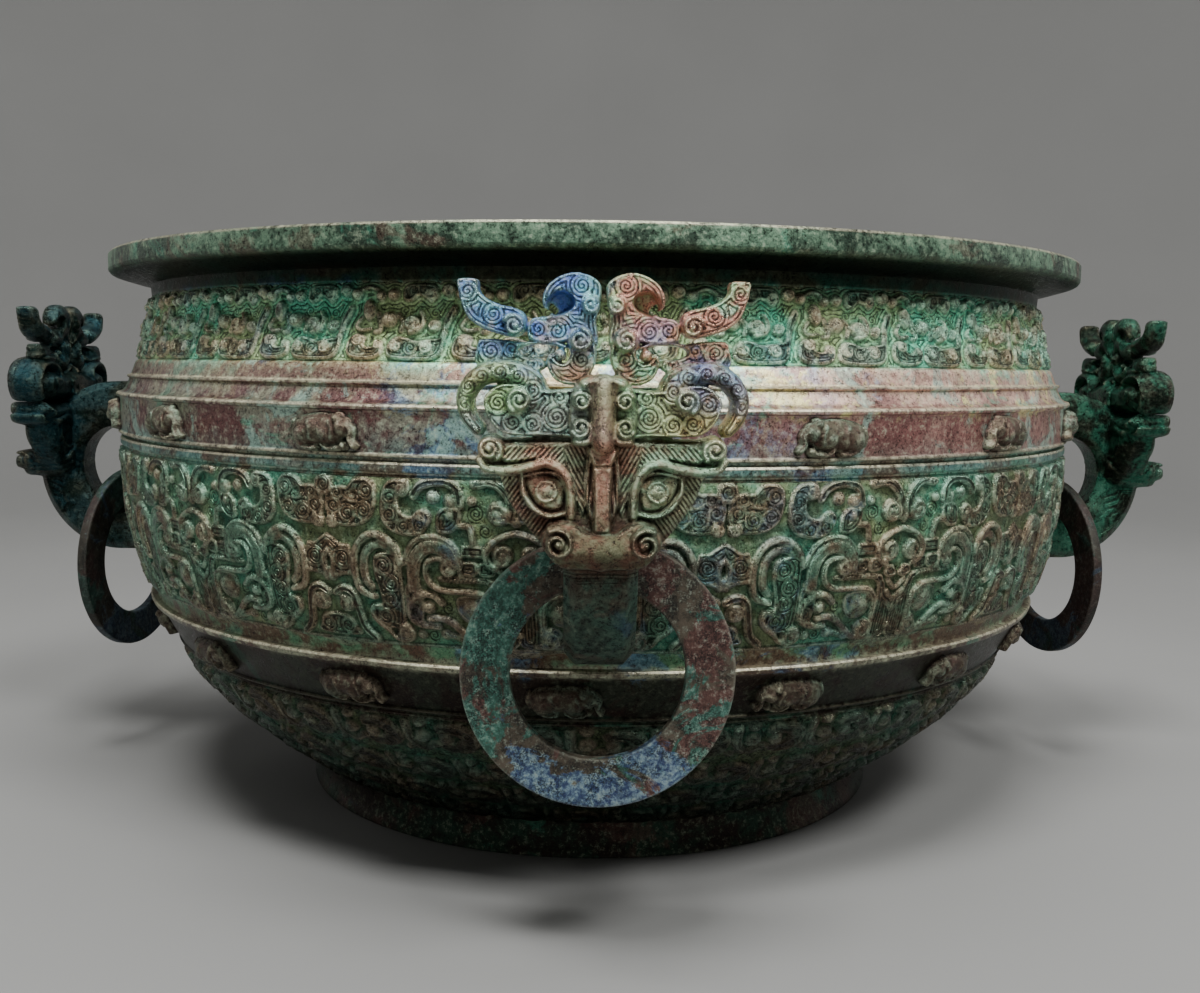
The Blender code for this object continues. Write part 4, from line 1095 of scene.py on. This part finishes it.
def ring_of_animals(name, sheet, degrees, radius, height, slope):
    """The same small beast at each of some angles, its rim sunk in the wall.

    Those on the right half are mirrored, so that all face the front.
    """
    x, y = np.meshgrid(sheet.x, sheet.y)
    points = np.stack([x, y, sheet.level], -1).reshape(-1, 3)
    points, faces = thinned(points, [grid_faces(*sheet.level.shape)], BEAST_TRIANGLES)
    kept = (points[faces][:, :, 2] > 0.02).any(1)
    faces = faces[kept]
    used = np.unique(faces)
    index = np.zeros(len(points), int)
    index[used] = np.arange(len(used))
    points, faces = points[used], index[faces]
    lean = math.atan(slope)
    spots, triangles = [], []
    values = {key: np.tile(sheet.read(getattr(sheet, key), points[:, 0], points[:, 1]), len(degrees))
              for key in FIELDS}
    for k, angle in enumerate(np.radians(degrees)):
        lift = points[:, 2] - SUNK_RIM
        side = -1 if 0 < angle < math.pi else 1
        reach = radius + lift * math.cos(lean) + points[:, 1] * math.sin(lean)
        level = height - lift * math.sin(lean) + points[:, 1] * math.cos(lean)
        turn = angle + side * points[:, 0] / radius
        spots.append(np.stack([reach * np.sin(turn), -reach * np.cos(turn), level], 1) * MM)
        triangles.append(faces[:, ::side] + k * len(points))
    return new_piece(name, np.concatenate(spots), [np.concatenate(triangles)], "basin", values)


ANIMALS = 16
UPPER_SHIFT = 2.1
LOWER_SHIFT = 2.9
beast = animal_sheet()
upper = [k * 360 / ANIMALS - UPPER_SHIFT for k in range(ANIMALS) if k % (ANIMALS // 4)]
lower = [k * 360 / ANIMALS - LOWER_SHIFT for k in range(ANIMALS)]
ring_of_animals("upper_beasts", beast, upper, 212.1, 168.4, 0.0)
ring_of_animals("lower_beasts", beast, lower, 194.2, 80.6, 0.55)


# The height, in metres, at which the colours by height end
COLOUR_TOP = 0.24
# The heights, in millimetres, of the ledges that get a thin painted highlight
LEDGE_HEIGHTS = (184.6, 177.0, 161.3, 158.8, 91.4, 72.3, 233.7)


class Nodes:
    """Short calls for building a node material."""

    def __init__(self, name):
        self.material = bpy.data.materials.new(name)
        self.material.use_nodes = True
        self.tree = self.material.node_tree
        self.shader = self.tree.nodes["Principled BSDF"]

    def add(self, kind, settings=None, **sockets):
        node = self.tree.nodes.new(kind)
        for key, value in (settings or {}).items():
            setattr(node, key, value)
        for key, value in sockets.items():
            self.put(node.inputs[int(key[1:]) if key[1:].isdigit() else key.replace("_", " ")], value)
        return node

    def put(self, socket, value):
        if isinstance(value, bpy.types.NodeSocket):
            self.tree.links.new(value, socket)
        elif isinstance(value, tuple) and len(value) == 3 and socket.type == "RGBA":
            socket.default_value = (*value, 1)
        else:
            socket.default_value = value

    def math(self, kind, a, b=0.0):
        return self.add("ShaderNodeMath", {"operation": kind}, i0=a, i1=b).outputs[0]

    def times(self, a, b):
        return self.math("MULTIPLY", a, b)

    def plus(self, a, b):
        return self.math("ADD", a, b)

    def minus(self, a, b):
        return self.math("SUBTRACT", a, b)

    def larger(self, a, b):
        return self.math("MAXIMUM", a, b)

    def mix(self, share, a, b, kind="MIX"):
        node = self.add("ShaderNodeMix", {"data_type": "RGBA", "blend_type": kind}, i0=share, i6=a, i7=b)
        return node.outputs[2]

    def number_mix(self, share, a, b):
        return self.add("ShaderNodeMix", {"data_type": "FLOAT"}, i0=share, i2=a, i3=b).outputs[0]

    def noise(self, place, scale, detail=4.0, rough=0.55, distortion=0.0):
        node = self.add("ShaderNodeTexNoise", None, Vector=place, Scale=scale, Detail=detail,
                        Roughness=rough, Distortion=distortion)
        return node.outputs[0]

    def ramp(self, value, low, high, start=0.0, end=1.0, smooth_step=False):
        kind = "SMOOTHSTEP" if smooth_step else "LINEAR"
        node = self.add("ShaderNodeMapRange", {"clamp": True, "interpolation_type": kind}, i0=value, i1=low,
                        i2=high, i3=start, i4=end)
        return node.outputs[0]

    def stops(self, value, stops):
        """Colours by a value; each stop is a place with a web code or with a share of grey."""
        node = self.add("ShaderNodeValToRGB", None, i0=value)
        row = node.color_ramp
        while len(row.elements) < len(stops):
            row.elements.new(1.0)
        for element, (place, code) in zip(row.elements, stops):
            element.position = place
            element.color = (*(tone(code) if isinstance(code, str) else grey(code)), 1)
        return node.outputs[0]

    def field(self, name):
        return self.add("ShaderNodeAttribute", {"attribute_name": name}).outputs["Fac"]


def tone(code):
    """A colour from a web code, in linear light."""
    parts = [int(code[i:i + 2], 16) / 255 for i in (0, 2, 4)]
    return tuple(p / 12.92 if p <= 0.04045 else ((p + 0.055) / 1.055) ** 2.4 for p in parts)


def grey(share):
    return (share, share, share)


def shifted(n, place, offset):
    return n.add("ShaderNodeVectorMath", None, i0=place, i1=offset).outputs[0]


def patch(n, place, offset, scale, low, high):
    """A mask of blotches with broken edges."""
    return n.ramp(n.noise(shifted(n, place, offset), scale, 7, 0.68, 0.6), low, high)


def blotched(n, colour, place, offset, scale, low, high, share, code):
    """A colour with blotches of another over it."""
    return n.mix(n.times(patch(n, place, offset, scale, low, high), share), colour, tone(code))


def split_by(n, cloud, mottle, share, low, high):
    """A mask that follows the large clouds, its edges broken by the fine mottle."""
    return n.ramp(n.plus(n.times(cloud, share), n.times(mottle, 1 - share)), low, high)


def near(n, value, centre, reach, soft):
    """1 where a value is within a reach of its centre, falling to 0 over a soft edge."""
    away = n.math("ABSOLUTE", n.minus(value, centre))
    return n.ramp(away, reach + soft, reach, smooth_step=True)


def engraved_lines(n):
    """The fine lines: spirals in discs, hatches, and echoes of the nearest edge elsewhere."""
    lines, echo = n.field("lines"), n.field("echo")
    disc, across, along = n.field("disc"), n.field("across"), n.field("along")
    radius = n.math("POWER", n.plus(n.math("POWER", across, 2), n.math("POWER", along, 2)), 0.5)
    winding = n.minus(n.times(radius, TURN / LINE_PITCH), n.math("ARCTAN2", along, across))
    in_disc = n.math("LESS_THAN", disc, 0.0)
    hatched = n.math("GREATER_THAN", lines, 1.5)
    echoes = n.times(n.minus(echo, FIRST_LINE), TURN / LINE_PITCH)
    phase = n.number_mix(hatched, echoes, n.times(across, TURN / LINE_PITCH))
    phase = n.number_mix(in_disc, phase, winding)
    line = n.ramp(n.math("COSINE", phase), -0.2, 0.8, smooth_step=True)
    shown = n.times(n.ramp(echo, FIRST_LINE - 0.6, FIRST_LINE - 0.4), n.ramp(lines, 0.3, 0.7))
    shown = n.larger(n.larger(in_disc, hatched), shown)
    return n.times(line, shown)


def vessel_colours(n, place, x, y, z, cloud, mottle):
    """Worn and patina tones by height, with painted light and shade: darker towards the foot and under the
    rim, brighter on the belts and the neck, painted highlights along the ledges and on the right of the
    shoulder, and painted shade on its left.
    """
    height = n.math("DIVIDE", n.plus(z, n.ramp(mottle, 0.3, 0.7, -0.002, 0.002)), COLOUR_TOP)
    # Both rows of tones grow darker towards the foot, and the patina dips dark just under the rim: painted
    # shade
    patina = n.stops(height, [(0.00, "22402f"), (0.07, "2f5040"), (0.16, "3f5c4c"), (0.27, "55604f"),
                              (0.366, "5a6250"), (0.375, "9a9c84"), (0.385, "9a9c84"), (0.39, "5a8a68"),
                              (0.52, "4b8a6c"), (0.62, "5c9474"), (0.66, "5f8a86"), (0.70, "74746a"),
                              (0.78, "8c8c74"), (0.80, "5aa088"), (0.90, "4a9a80"), (0.93, "2c4a3c"),
                              (0.95, "6d9076"), (1.00, "86a488")])
    worn = n.stops(height, [
        (0.00, "2c2018"), (0.16, "3a2d25"), (0.30, "4a3b32"), (0.37, "544338"),
        (0.42, "6f5a42"), (0.52, "6e553c"), (0.62, "7a6244"), (0.66, "5b5a52"),
        (0.70, "603e3d"), (0.75, "70504e"), (0.78, "83685c"), (0.80, "857c5a"),
        (0.92, "5f6a50"), (0.95, "3c5042"), (1.00, "4a6050")])
    split = split_by(n, cloud, mottle, 0.6, 0.46, 0.54)
    colour = n.mix(split, worn, patina)
    front = n.ramp(y, -0.06, -0.16)
    beside = n.times(near(n, x, 0.008, 0.055, 0.05), front)
    beside = n.times(beside, near(n, z, 0.145, 0.045, 0.03))
    upper_left = n.times(n.ramp(x, -0.03, -0.10), near(n, z, 0.205, 0.012, 0.006))
    spread = n.larger(n.times(beside, 0.15), n.times(upper_left, 0.12))
    azure = n.ramp(n.plus(n.noise(place, 34, 8, 0.72, 0.6), spread), 0.655, 0.70)
    blue = n.mix(n.ramp(mottle, 0.42, 0.58), tone("2b3752"), tone("5b86a8"))
    colour = n.mix(n.times(azure, 0.7), colour, blue)
    # Pink patina on the right of the shoulder, lighter towards its top as a painted highlight
    pink_and_highlight = n.times(n.ramp(x, -0.01, 0.10), near(n, z, 0.176, 0.013, 0.003))
    rosy_and_highlight = n.mix(n.ramp(z, 0.174, 0.178), tone("a4716a"), tone("c8a092"))
    colour = n.mix(n.times(pink_and_highlight, n.ramp(cloud, 0.38, 0.58, 0.2, 0.8)), colour, rosy_and_highlight)
    crumbs = n.ramp(n.noise(place, 260, 6, 0.75), 0.5, 0.62)
    crusted = n.plus(patch(n, place, (0.22, 0.61, 0.93), 30, 0.52, 0.6), crumbs)
    crusted = n.times(n.ramp(crusted, 0.7, 1.15), near(n, z, 0.184, 0.008, 0.004))
    colour = n.mix(n.times(crusted, n.ramp(x, -0.1, 0.08, 0.15, 0.85)), colour, tone("c9c284"))
    pale = patch(n, place, (0.5, 0.8, 0.2), 40, 0.55, 0.6)
    pale = n.times(pale, near(n, z, 0.18, 0.024, 0.006))
    colour = n.mix(n.times(pale, 0.7), colour, tone("8fb3a6"))
    colour = blotched(n, colour, place, (0.31, 0.2, 0.12), 30, 0.575, 0.62, 0.55, "4f9c80")
    colour = blotched(n, colour, place, (0.7, 0.4, 0.9), 36, 0.565, 0.61, 0.5, "6b4a42")
    # Painted shade on the left of the shoulder
    left_painted_shade = n.times(n.ramp(x, -0.06, -0.16, 0.0, 0.5), near(n, z, 0.183, 0.006, 0.003))
    colour = n.mix(left_painted_shade, colour, tone("4a4440"))
    # Thin painted highlights along the ledges and the rim's top edge
    highlight_per_ledge = [n.ramp(n.math("ABSOLUTE", n.minus(z, level * MM)), 0.0008, 0.0003)
              for level in LEDGE_HEIGHTS]
    ledge_highlight = highlight_per_ledge[0]
    for other in highlight_per_ledge[1:]:
        ledge_highlight = n.larger(ledge_highlight, other)
    colour = n.mix(n.times(ledge_highlight, n.ramp(mottle, 0.35, 0.6, 0.25, 0.85)), colour, tone("cfc8ab"))
    # Painted light and shade by height: dark on the bowl, the lower belt and under the rim, bright on the
    # belts and the neck
    painted_light_and_shade = n.stops(n.math("DIVIDE", z, COLOUR_TOP), [
        (0.00, 0.50), (0.05, 0.45), (0.08, 0.24), (0.27, 0.5), (0.292, 0.5),
        (0.298, 0.17), (0.366, 0.26), (0.374, 1.25), (0.384, 1.25), (0.39, 0.9),
        (0.50, 1.3), (0.655, 1.4), (0.665, 1.3), (0.73, 1.6), (0.785, 1.65),
        (0.80, 3.1), (0.89, 2.9), (0.906, 0.16), (0.9395, 0.05), (0.9425, 1.1),
        (1.00, 1.2)])
    return colour, painted_light_and_shade


def beast_colours(n, place, x, y, z, cloud, mottle):
    """The small beasts: dark worn bronze with a little green, the lower ring darker as painted shade."""
    split = split_by(n, cloud, mottle, 0.5, 0.47, 0.55)
    colour = n.mix(split, tone("57463a"), tone("5c5f4c"))
    colour = blotched(n, colour, place, (0.2, 0.5, 0.3), 90, 0.56, 0.6, 0.6, "7a5650")
    # Painted shade by height: the lower ring of beasts is darker
    return colour, n.stops(n.math("DIVIDE", z, COLOUR_TOP), [(0.28, 0.4), (0.5, 1.0)])


def handle_colours(n, place, x, y, z, cloud, mottle):
    """Paler than the vessel on the front mask, dark teal on the left handle and green on the right, with
    painted light growing towards the top and painted shade on the handles away from the front.
    """
    split = split_by(n, cloud, mottle, 0.5, 0.46, 0.54)
    colour = n.mix(split, tone("8d7159"), tone("9aa783"))
    greens = patch(n, place, (0.6, 0.9, 0.4), 42, 0.51, 0.56)
    colour = n.mix(n.times(greens, 0.75), colour, n.mix(mottle, tone("3f8f78"), tone("7ab894")))
    blues = n.ramp(n.plus(n.noise(shifted(n, place, (0.15, 0.45, 0.75)), 44, 7, 0.68, 0.6),
                          n.times(n.ramp(z, 0.165, 0.185), 0.05)), 0.58, 0.63)
    colour = n.mix(n.times(blues, 0.8), colour, n.mix(mottle, tone("33507e"), tone("7a9cc0")))
    crown = n.ramp(n.plus(z, n.ramp(cloud, 0.3, 0.7, -0.008, 0.008)), 0.186, 0.196)
    left = n.ramp(n.plus(x, n.ramp(mottle, 0.3, 0.7, -0.008, 0.008)), 0.003, -0.003)
    blue = n.mix(split, tone("6fb4bc"), tone("3c55a0"))
    pinkish = n.mix(split, tone("b0786c"), tone("86b07e"))
    colour = n.mix(n.times(crown, 0.7), colour, n.mix(left, pinkish, blue))
    colour = blotched(n, colour, place, (0.2, 0.5, 0.3), 60, 0.55, 0.6, 0.6, "78b49a")
    colour = blotched(n, colour, place, (0.9, 0.1, 0.6), 50, 0.55, 0.6, 0.5, "96705f")
    # The face is browner; the horns and the forehead differ from side to side
    face = n.mix(split, tone("93695a"), tone("84806a"))
    colour = n.mix(n.times(n.ramp(z, 0.174, 0.168), n.ramp(cloud, 0.36, 0.56, 0.9, 0.4)), colour, face)
    brow = near(n, z, 0.178, 0.006, 0.003)
    warm = n.mix(n.ramp(x, 0.010, 0.022), tone("62a07c"), tone("b09a5c"))
    brow_colour = n.mix(left, warm, n.mix(mottle, tone("3f6f86"), tone("7fb0a0")))
    colour = n.mix(n.times(brow, 0.6), colour, brow_colour)
    horn = n.times(near(n, z, 0.185, 0.006, 0.003), n.ramp(n.math("ABSOLUTE", x), 0.017, 0.026))
    horn = n.times(horn, n.ramp(mottle, 0.38, 0.58, 0.25, 0.75))
    colour = n.mix(horn, colour, n.mix(left, tone("4f62a0"), tone("8aa866")))
    middle = n.ramp(n.math("ABSOLUTE", x), 0.0045, 0.0035)
    colour = n.mix(n.times(middle, n.ramp(z, 0.19, 0.186, 0.0, 0.6)), colour, tone("8a5f50"))
    snout = n.mix(split, tone("7a5848"), tone("6a6c52"))
    colour = n.mix(n.ramp(z, 0.152, 0.147), colour, snout)
    tongue = n.mix(split, tone("2f4238"), tone("3a6052"))
    azure = n.times(n.ramp(x, 0.002, 0.008), patch(n, place, (0.4, 0.8, 0.5), 70, 0.5, 0.58))
    tongue = n.mix(n.times(azure, 0.6), tongue, tone("33507e"))
    tongue = n.mix(n.times(patch(n, place, (0.3, 0.3, 0.3), 60, 0.52, 0.56), 0.6), tongue, tone("503832"))
    colour = n.mix(n.ramp(z, 0.138, 0.132), colour, tongue)
    side_left = n.mix(split, tone("16302b"), tone("27525a"))
    side_right = n.mix(split, tone("223226"), tone("39846a"))
    side_back = n.mix(split, tone("3c382c"), tone("3c6450"))
    colour = n.mix(n.ramp(y, -0.19, -0.17), colour, side_back)
    colour = n.mix(n.ramp(x, -0.17, -0.19), colour, side_left)
    colour = n.mix(n.ramp(x, 0.17, 0.19), colour, side_right)
    # Painted light and shade by height: darker towards the loop, brighter on the mask
    painted_light_and_shade = n.stops(n.math("DIVIDE", z, COLOUR_TOP), [
        (0.00, 0.5), (0.575, 0.55), (0.60, 0.75), (0.64, 1.1), (0.70, 1.35),
        (1.00, 1.35)])
    # Painted shade on the handles turned away from the front
    turned_away = n.ramp(y, -0.20, -0.17)
    return colour, n.mix(turned_away, painted_light_and_shade, grey(0.42))


RUBBED = 0.4


def bronze_material(name, colours, relief, metal, bump_strength=0.7, bed_share=0.0, plate_tone=1.0,
                    plate_share=0.0, edge_share=0.75, crust_share=0.4):
    n = Nodes(name)
    place = n.add("ShaderNodeTexCoord").outputs["Object"]
    x, y, z = n.add("ShaderNodeSeparateXYZ", None, Vector=place).outputs
    cloud = n.noise(place, 38, 6, 0.6, 0.4)
    mottle = n.noise(place, 120, 8, 0.7)
    grain = n.noise(place, 480, 6, 0.75)
    grit = n.noise(place, 1700, 3, 0.7)
    colour, painted_light_and_shade = colours(n, place, x, y, z, cloud, mottle)
    point = n.add("ShaderNodeNewGeometry").outputs["Pointiness"]
    convex = n.ramp(point, 0.505, 0.56) if relief else n.ramp(point, 0.53, 0.60)
    concave = n.ramp(point, 0.495, 0.43) if relief else n.ramp(point, 0.47, 0.40)

    bump_height = n.plus(n.times(grain, 0.9), n.times(grit, 0.6))
    bump_height = n.plus(bump_height, n.times(mottle, 0.9))
    edge = convex
    if relief:
        level, inset, echo = n.field("level"), n.field("inset"), n.field("echo")
        engraved = engraved_lines(n)
        ground = n.ramp(inset, 0.25, 0.0)
        crease_shade = n.times(ground, n.ramp(echo, 0.55, 0.05))
        bed = n.mix(n.ramp(cloud, 0.42, 0.6), tone("7f9468"), tone("4f9c80"))
        plate = n.mix(n.ramp(cloud, 0.40, 0.60), tone("5c5344"), tone("4c6457"))
        colour = n.mix(plate_share, colour, plate)
        # The forms of the neck are darker than their bed
        on_neck = n.times(n.ramp(z, 0.188, 0.192), plate_share)
        darker = n.mix(n.times(on_neck, 1.5), grey(plate_tone), grey(plate_tone * 0.55))
        colour = n.mix(n.times(ground, bed_share), n.mix(1.0, colour, darker, "MULTIPLY"), bed)
        # Painted shade in the creases where the ground meets the forms
        colour = n.mix(n.times(crease_shade, 0.85), colour, tone("0b100d"))
        # Pale rails and convex edges, part wear and part painted highlight
        rail = n.times(n.ramp(echo, 0.8, 0.35), n.ramp(inset, 0.15, 0.4))
        edge = n.larger(n.times(convex, edge_share), n.times(rail, edge_share))
        edge = n.times(edge, n.minus(1.0, n.times(on_neck, 0.6)))
        # The fine lines' grooves darkened as painted shade
        colour = n.mix(n.times(engraved, 0.68), colour, tone("0c1410"))
        bump_height = n.minus(bump_height, n.times(engraved, 1.5))
        # Knobs and scrolls worn back to brown
        rubbed = n.times(n.ramp(level, 2.0, 2.8), n.ramp(mottle, 0.35, 0.6, 0.9, 0.3))
        colour = n.mix(n.times(rubbed, RUBBED), colour, tone("6a4e40"))
    # Pale edges, part wear and part painted highlight; painted shade in the hollows; grains of crust and
    # pits
    wear = n.mix(n.ramp(cloud, 0.42, 0.58), tone("c2b89a"), tone("a4c8b0"))
    colour = n.mix(n.times(edge, n.ramp(mottle, 0.38, 0.6, 0.25, 0.9)), colour, wear)
    colour = n.mix(n.times(concave, 0.65), colour, tone("0c120f"))
    crust = n.times(n.ramp(grain, 0.53, 0.62), n.ramp(grit, 0.38, 0.55))
    colour = n.mix(n.times(crust, crust_share), colour, tone("c4cdb0"))
    pits = n.times(n.ramp(grit, 0.54, 0.40), n.ramp(grain, 0.56, 0.42))
    colour = n.mix(n.times(pits, 0.9), colour, tone("080c0a"))
    # Painted light and shade multiplied over the colour
    colour = n.mix(1.0, colour, painted_light_and_shade, "MULTIPLY")
    rough = n.ramp(n.minus(grain, n.times(edge, 0.12)), 0.33, 0.65, 0.2, 0.5)
    bump = n.add("ShaderNodeBump", None, Strength=bump_strength, Distance=0.0008, Height=bump_height)
    n.put(n.shader.inputs["Base Color"], colour)
    n.put(n.shader.inputs["Roughness"], rough)
    # The specular level follows the painted light and shade, lower where shade is painted
    n.put(n.shader.inputs["Specular IOR Level"], n.ramp(painted_light_and_shade, 0.0, 1.0, 0.0, 0.6))
    n.shader.inputs["Metallic"].default_value = metal
    n.put(n.shader.inputs["Normal"], bump.outputs[0])
    return n.material


def ring_material():
    """Brown bronze under broken patches of teal, blue and red-brown, with thin pale edges of wear and
    painted highlight, and painted shade on the rings away from the front.
    """
    n = Nodes("ring_patina")
    place = n.add("ShaderNodeTexCoord").outputs["Object"]
    x, y, z = n.add("ShaderNodeSeparateXYZ", None, Vector=place).outputs
    mottle = n.noise(place, 150, 8, 0.72)
    grain = n.noise(place, 520, 6, 0.75)
    grit = n.noise(place, 1800, 3, 0.7)
    colour = n.mix(n.ramp(mottle, 0.42, 0.58), tone("3d382e"), tone("5c5346"))
    # Broken patches of red-brown, teal and blue; the first two drift to a side, the last to the foot
    red_drift = n.ramp(x, -0.02, 0.04, -0.01, 0.03)
    teal_drift = n.ramp(x, 0.02, -0.04, -0.03, 0.05)
    azure_drift = n.ramp(z, 0.095, 0.06, -0.01, 0.09)
    masks = []
    for offset, scale, rough, drift, low, high, even, dark, light in (
            ((0.4, 0.1, 0.8), 36, 0.68, red_drift, 0.52, 0.545, 0.4, "4a2f2b", "77504a"),
            ((0.1, 0.7, 0.2), 33, 0.7, teal_drift, 0.535, 0.56, 0.4, "235447", "4f8f80"),
            ((0.9, 0.3, 0.5), 35, 0.72, azure_drift, 0.575, 0.60, 0.42, "2c4470", "84a6b8")):
        blotches = n.noise(shifted(n, place, offset), scale, 8, rough, 0.8)
        mask = n.ramp(n.plus(blotches, drift), low, high)
        shades = n.mix(n.ramp(grain, even, 1 - even), tone(dark), tone(light))
        colour = n.mix(n.times(mask, 0.85), colour, shades)
        masks.append(mask)
    point = n.add("ShaderNodeNewGeometry").outputs["Pointiness"]
    # Pale convex edges, part wear and part painted highlight
    colour = n.mix(n.ramp(point, 0.52, 0.6, 0.0, 0.75), colour, tone("a9ae9c"))
    crust = n.times(n.ramp(grain, 0.52, 0.64), n.ramp(grit, 0.35, 0.55))
    colour = n.mix(n.times(crust, 0.6), colour, tone("a8b3a2"))
    pits = n.times(n.ramp(grit, 0.56, 0.42), n.ramp(mottle, 0.58, 0.42))
    colour = n.mix(n.times(pits, 0.9), colour, tone("090b0b"))
    # Painted shade on the rings away from the front
    colour = n.mix(n.ramp(y, -0.2, -0.17), colour, n.mix(1.0, colour, grey(0.3), "MULTIPLY"))
    height = n.plus(n.times(grain, 0.8), n.times(mottle, 0.9))
    height = n.plus(height, n.times(n.larger(masks[1], masks[2]), 0.25))
    bump = n.add("ShaderNodeBump", None, Strength=0.7, Distance=0.0007, Height=height)
    n.put(n.shader.inputs["Base Color"], colour)
    n.put(n.shader.inputs["Roughness"], n.ramp(mottle, 0.3, 0.7, 0.38, 0.7))
    n.shader.inputs["Metallic"].default_value = 0.35
    n.put(n.shader.inputs["Normal"], bump.outputs[0])
    return n.material


relief_bronze = bronze_material("relief_bronze", vessel_colours, True, 0.8, bed_share=0.7, plate_tone=0.95,
                                plate_share=0.6, edge_share=0.8, crust_share=0.25)
plain_bronze = bronze_material("plain_bronze", vessel_colours, False, 0.65, 0.28)
handle_bronze = bronze_material("handle_bronze", handle_colours, True, 0.8, plate_tone=1.35,
                                crust_share=0.25)
beast_bronze = bronze_material("beast_bronze", beast_colours, True, 0.6)
ring_bronze = ring_material()
for piece in list(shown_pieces()):
    if piece.name.startswith("loose_ring"):
        piece.data.materials.append(ring_bronze)
    elif piece.name.startswith("beast_handle"):
        piece.data.materials.append(handle_bronze)
    elif piece.name.endswith("beasts"):
        piece.data.materials.append(beast_bronze)
    elif piece.data.attributes.get("level"):
        piece.data.materials.append(relief_bronze)
    else:
        piece.data.materials.append(plain_bronze)


# Camera at the photograph's angle
CAMERA_PLACE = Vector((-0.00557, -0.59144, 0.19030))
CAMERA_YAW = math.radians(-0.87)
CAMERA_PITCH = math.radians(6.06)
CAMERA_ROLL = math.radians(0.70)
ahead = Vector((-math.sin(CAMERA_YAW) * math.cos(CAMERA_PITCH),
                math.cos(CAMERA_YAW) * math.cos(CAMERA_PITCH), -math.sin(CAMERA_PITCH)))
level_right = Vector((math.cos(CAMERA_YAW), math.sin(CAMERA_YAW), 0))
level_up = level_right.cross(ahead)
right = level_right * math.cos(CAMERA_ROLL) + level_up * math.sin(CAMERA_ROLL)
up = level_up * math.cos(CAMERA_ROLL) - level_right * math.sin(CAMERA_ROLL)
lens = bpy.data.cameras.new("camera")
lens.lens = 36.9
lens.sensor_width = 36.0
lens.clip_start = 0.01
camera = bpy.data.objects.new("camera", lens)
bpy.context.scene.collection.objects.link(camera)
camera.matrix_world = Matrix.Translation(CAMERA_PLACE) @ Matrix((right, up, -ahead)).transposed().to_4x4()
bpy.context.scene.camera = camera


FLOOR_REACH = 1.2
FLOOR_BEND = 1.0
BACKDROP_TOP = 4.0


def pale_floor():
    """A pale round floor that rises far away into a plain backdrop, the same from every side."""
    profile = [(0.01, 0.0), (FLOOR_REACH, 0.0)]
    for step in range(1, 9):
        angle = math.radians(90 * step / 8)
        out, rise = math.sin(angle), 1 - math.cos(angle)
        profile.append((FLOOR_REACH + FLOOR_BEND * out, FLOOR_BEND * rise))
    profile.append((FLOOR_REACH + FLOOR_BEND, BACKDROP_TOP))
    turns = np.radians(np.arange(0, 361, 3))
    points = np.array([(reach * math.sin(turn), reach * math.cos(turn), z)
                       for reach, z in profile for turn in turns[::-1]])
    made = new_piece("floor", points, [grid_faces(len(profile), len(turns))], None)
    n = Nodes("pale_floor")
    place = n.add("ShaderNodeTexCoord").outputs["Object"]
    cloud = n.noise(place, 3.0, 4, 0.5)
    n.put(n.shader.inputs["Base Color"], n.mix(cloud, tone("868684"), tone("90908e")))
    n.shader.inputs["Roughness"].default_value = 0.7
    made.data.materials.append(n.material)


def soft_light(name, place, target, size, power):
    lamp = bpy.data.lights.new(name, "AREA")
    lamp.shape = "RECTANGLE"
    lamp.size, lamp.size_y = size
    lamp.energy = power
    made = bpy.data.objects.new(name, lamp)
    bpy.context.scene.collection.objects.link(made)
    made.location = place
    made.rotation_euler = (Vector(target) - Vector(place)).to_track_quat("-Z", "Y").to_euler()


pale_floor()
soft_light("key", (-0.2, -0.95, 1.85), (0, -0.1, 0.15), (0.6, 0.4), 34)
soft_light("fill", (0.6, -1.1, 1.55), (0, -0.1, 0.15), (0.6, 0.4), 26)
soft_light("top", (0, 0.1, 2.0), (0, 0.05, 0.1), (1.2, 0.8), 14)
soft_light("rim_left", (-1.9, 0.5, 1.1), (0, 0, 0.15), (0.4, 0.8), 3)
soft_light("rim_right", (1.9, 0.5, 1.1), (0, 0, 0.15), (0.4, 0.8), 4)
world = bpy.context.scene.world or bpy.data.worlds.new("world")
bpy.context.scene.world = world
world.use_nodes = True
backdrop = world.node_tree.nodes["Background"]
backdrop.inputs["Color"].default_value = (0.8, 0.82, 0.85, 1)
backdrop.inputs["Strength"].default_value = 0.05
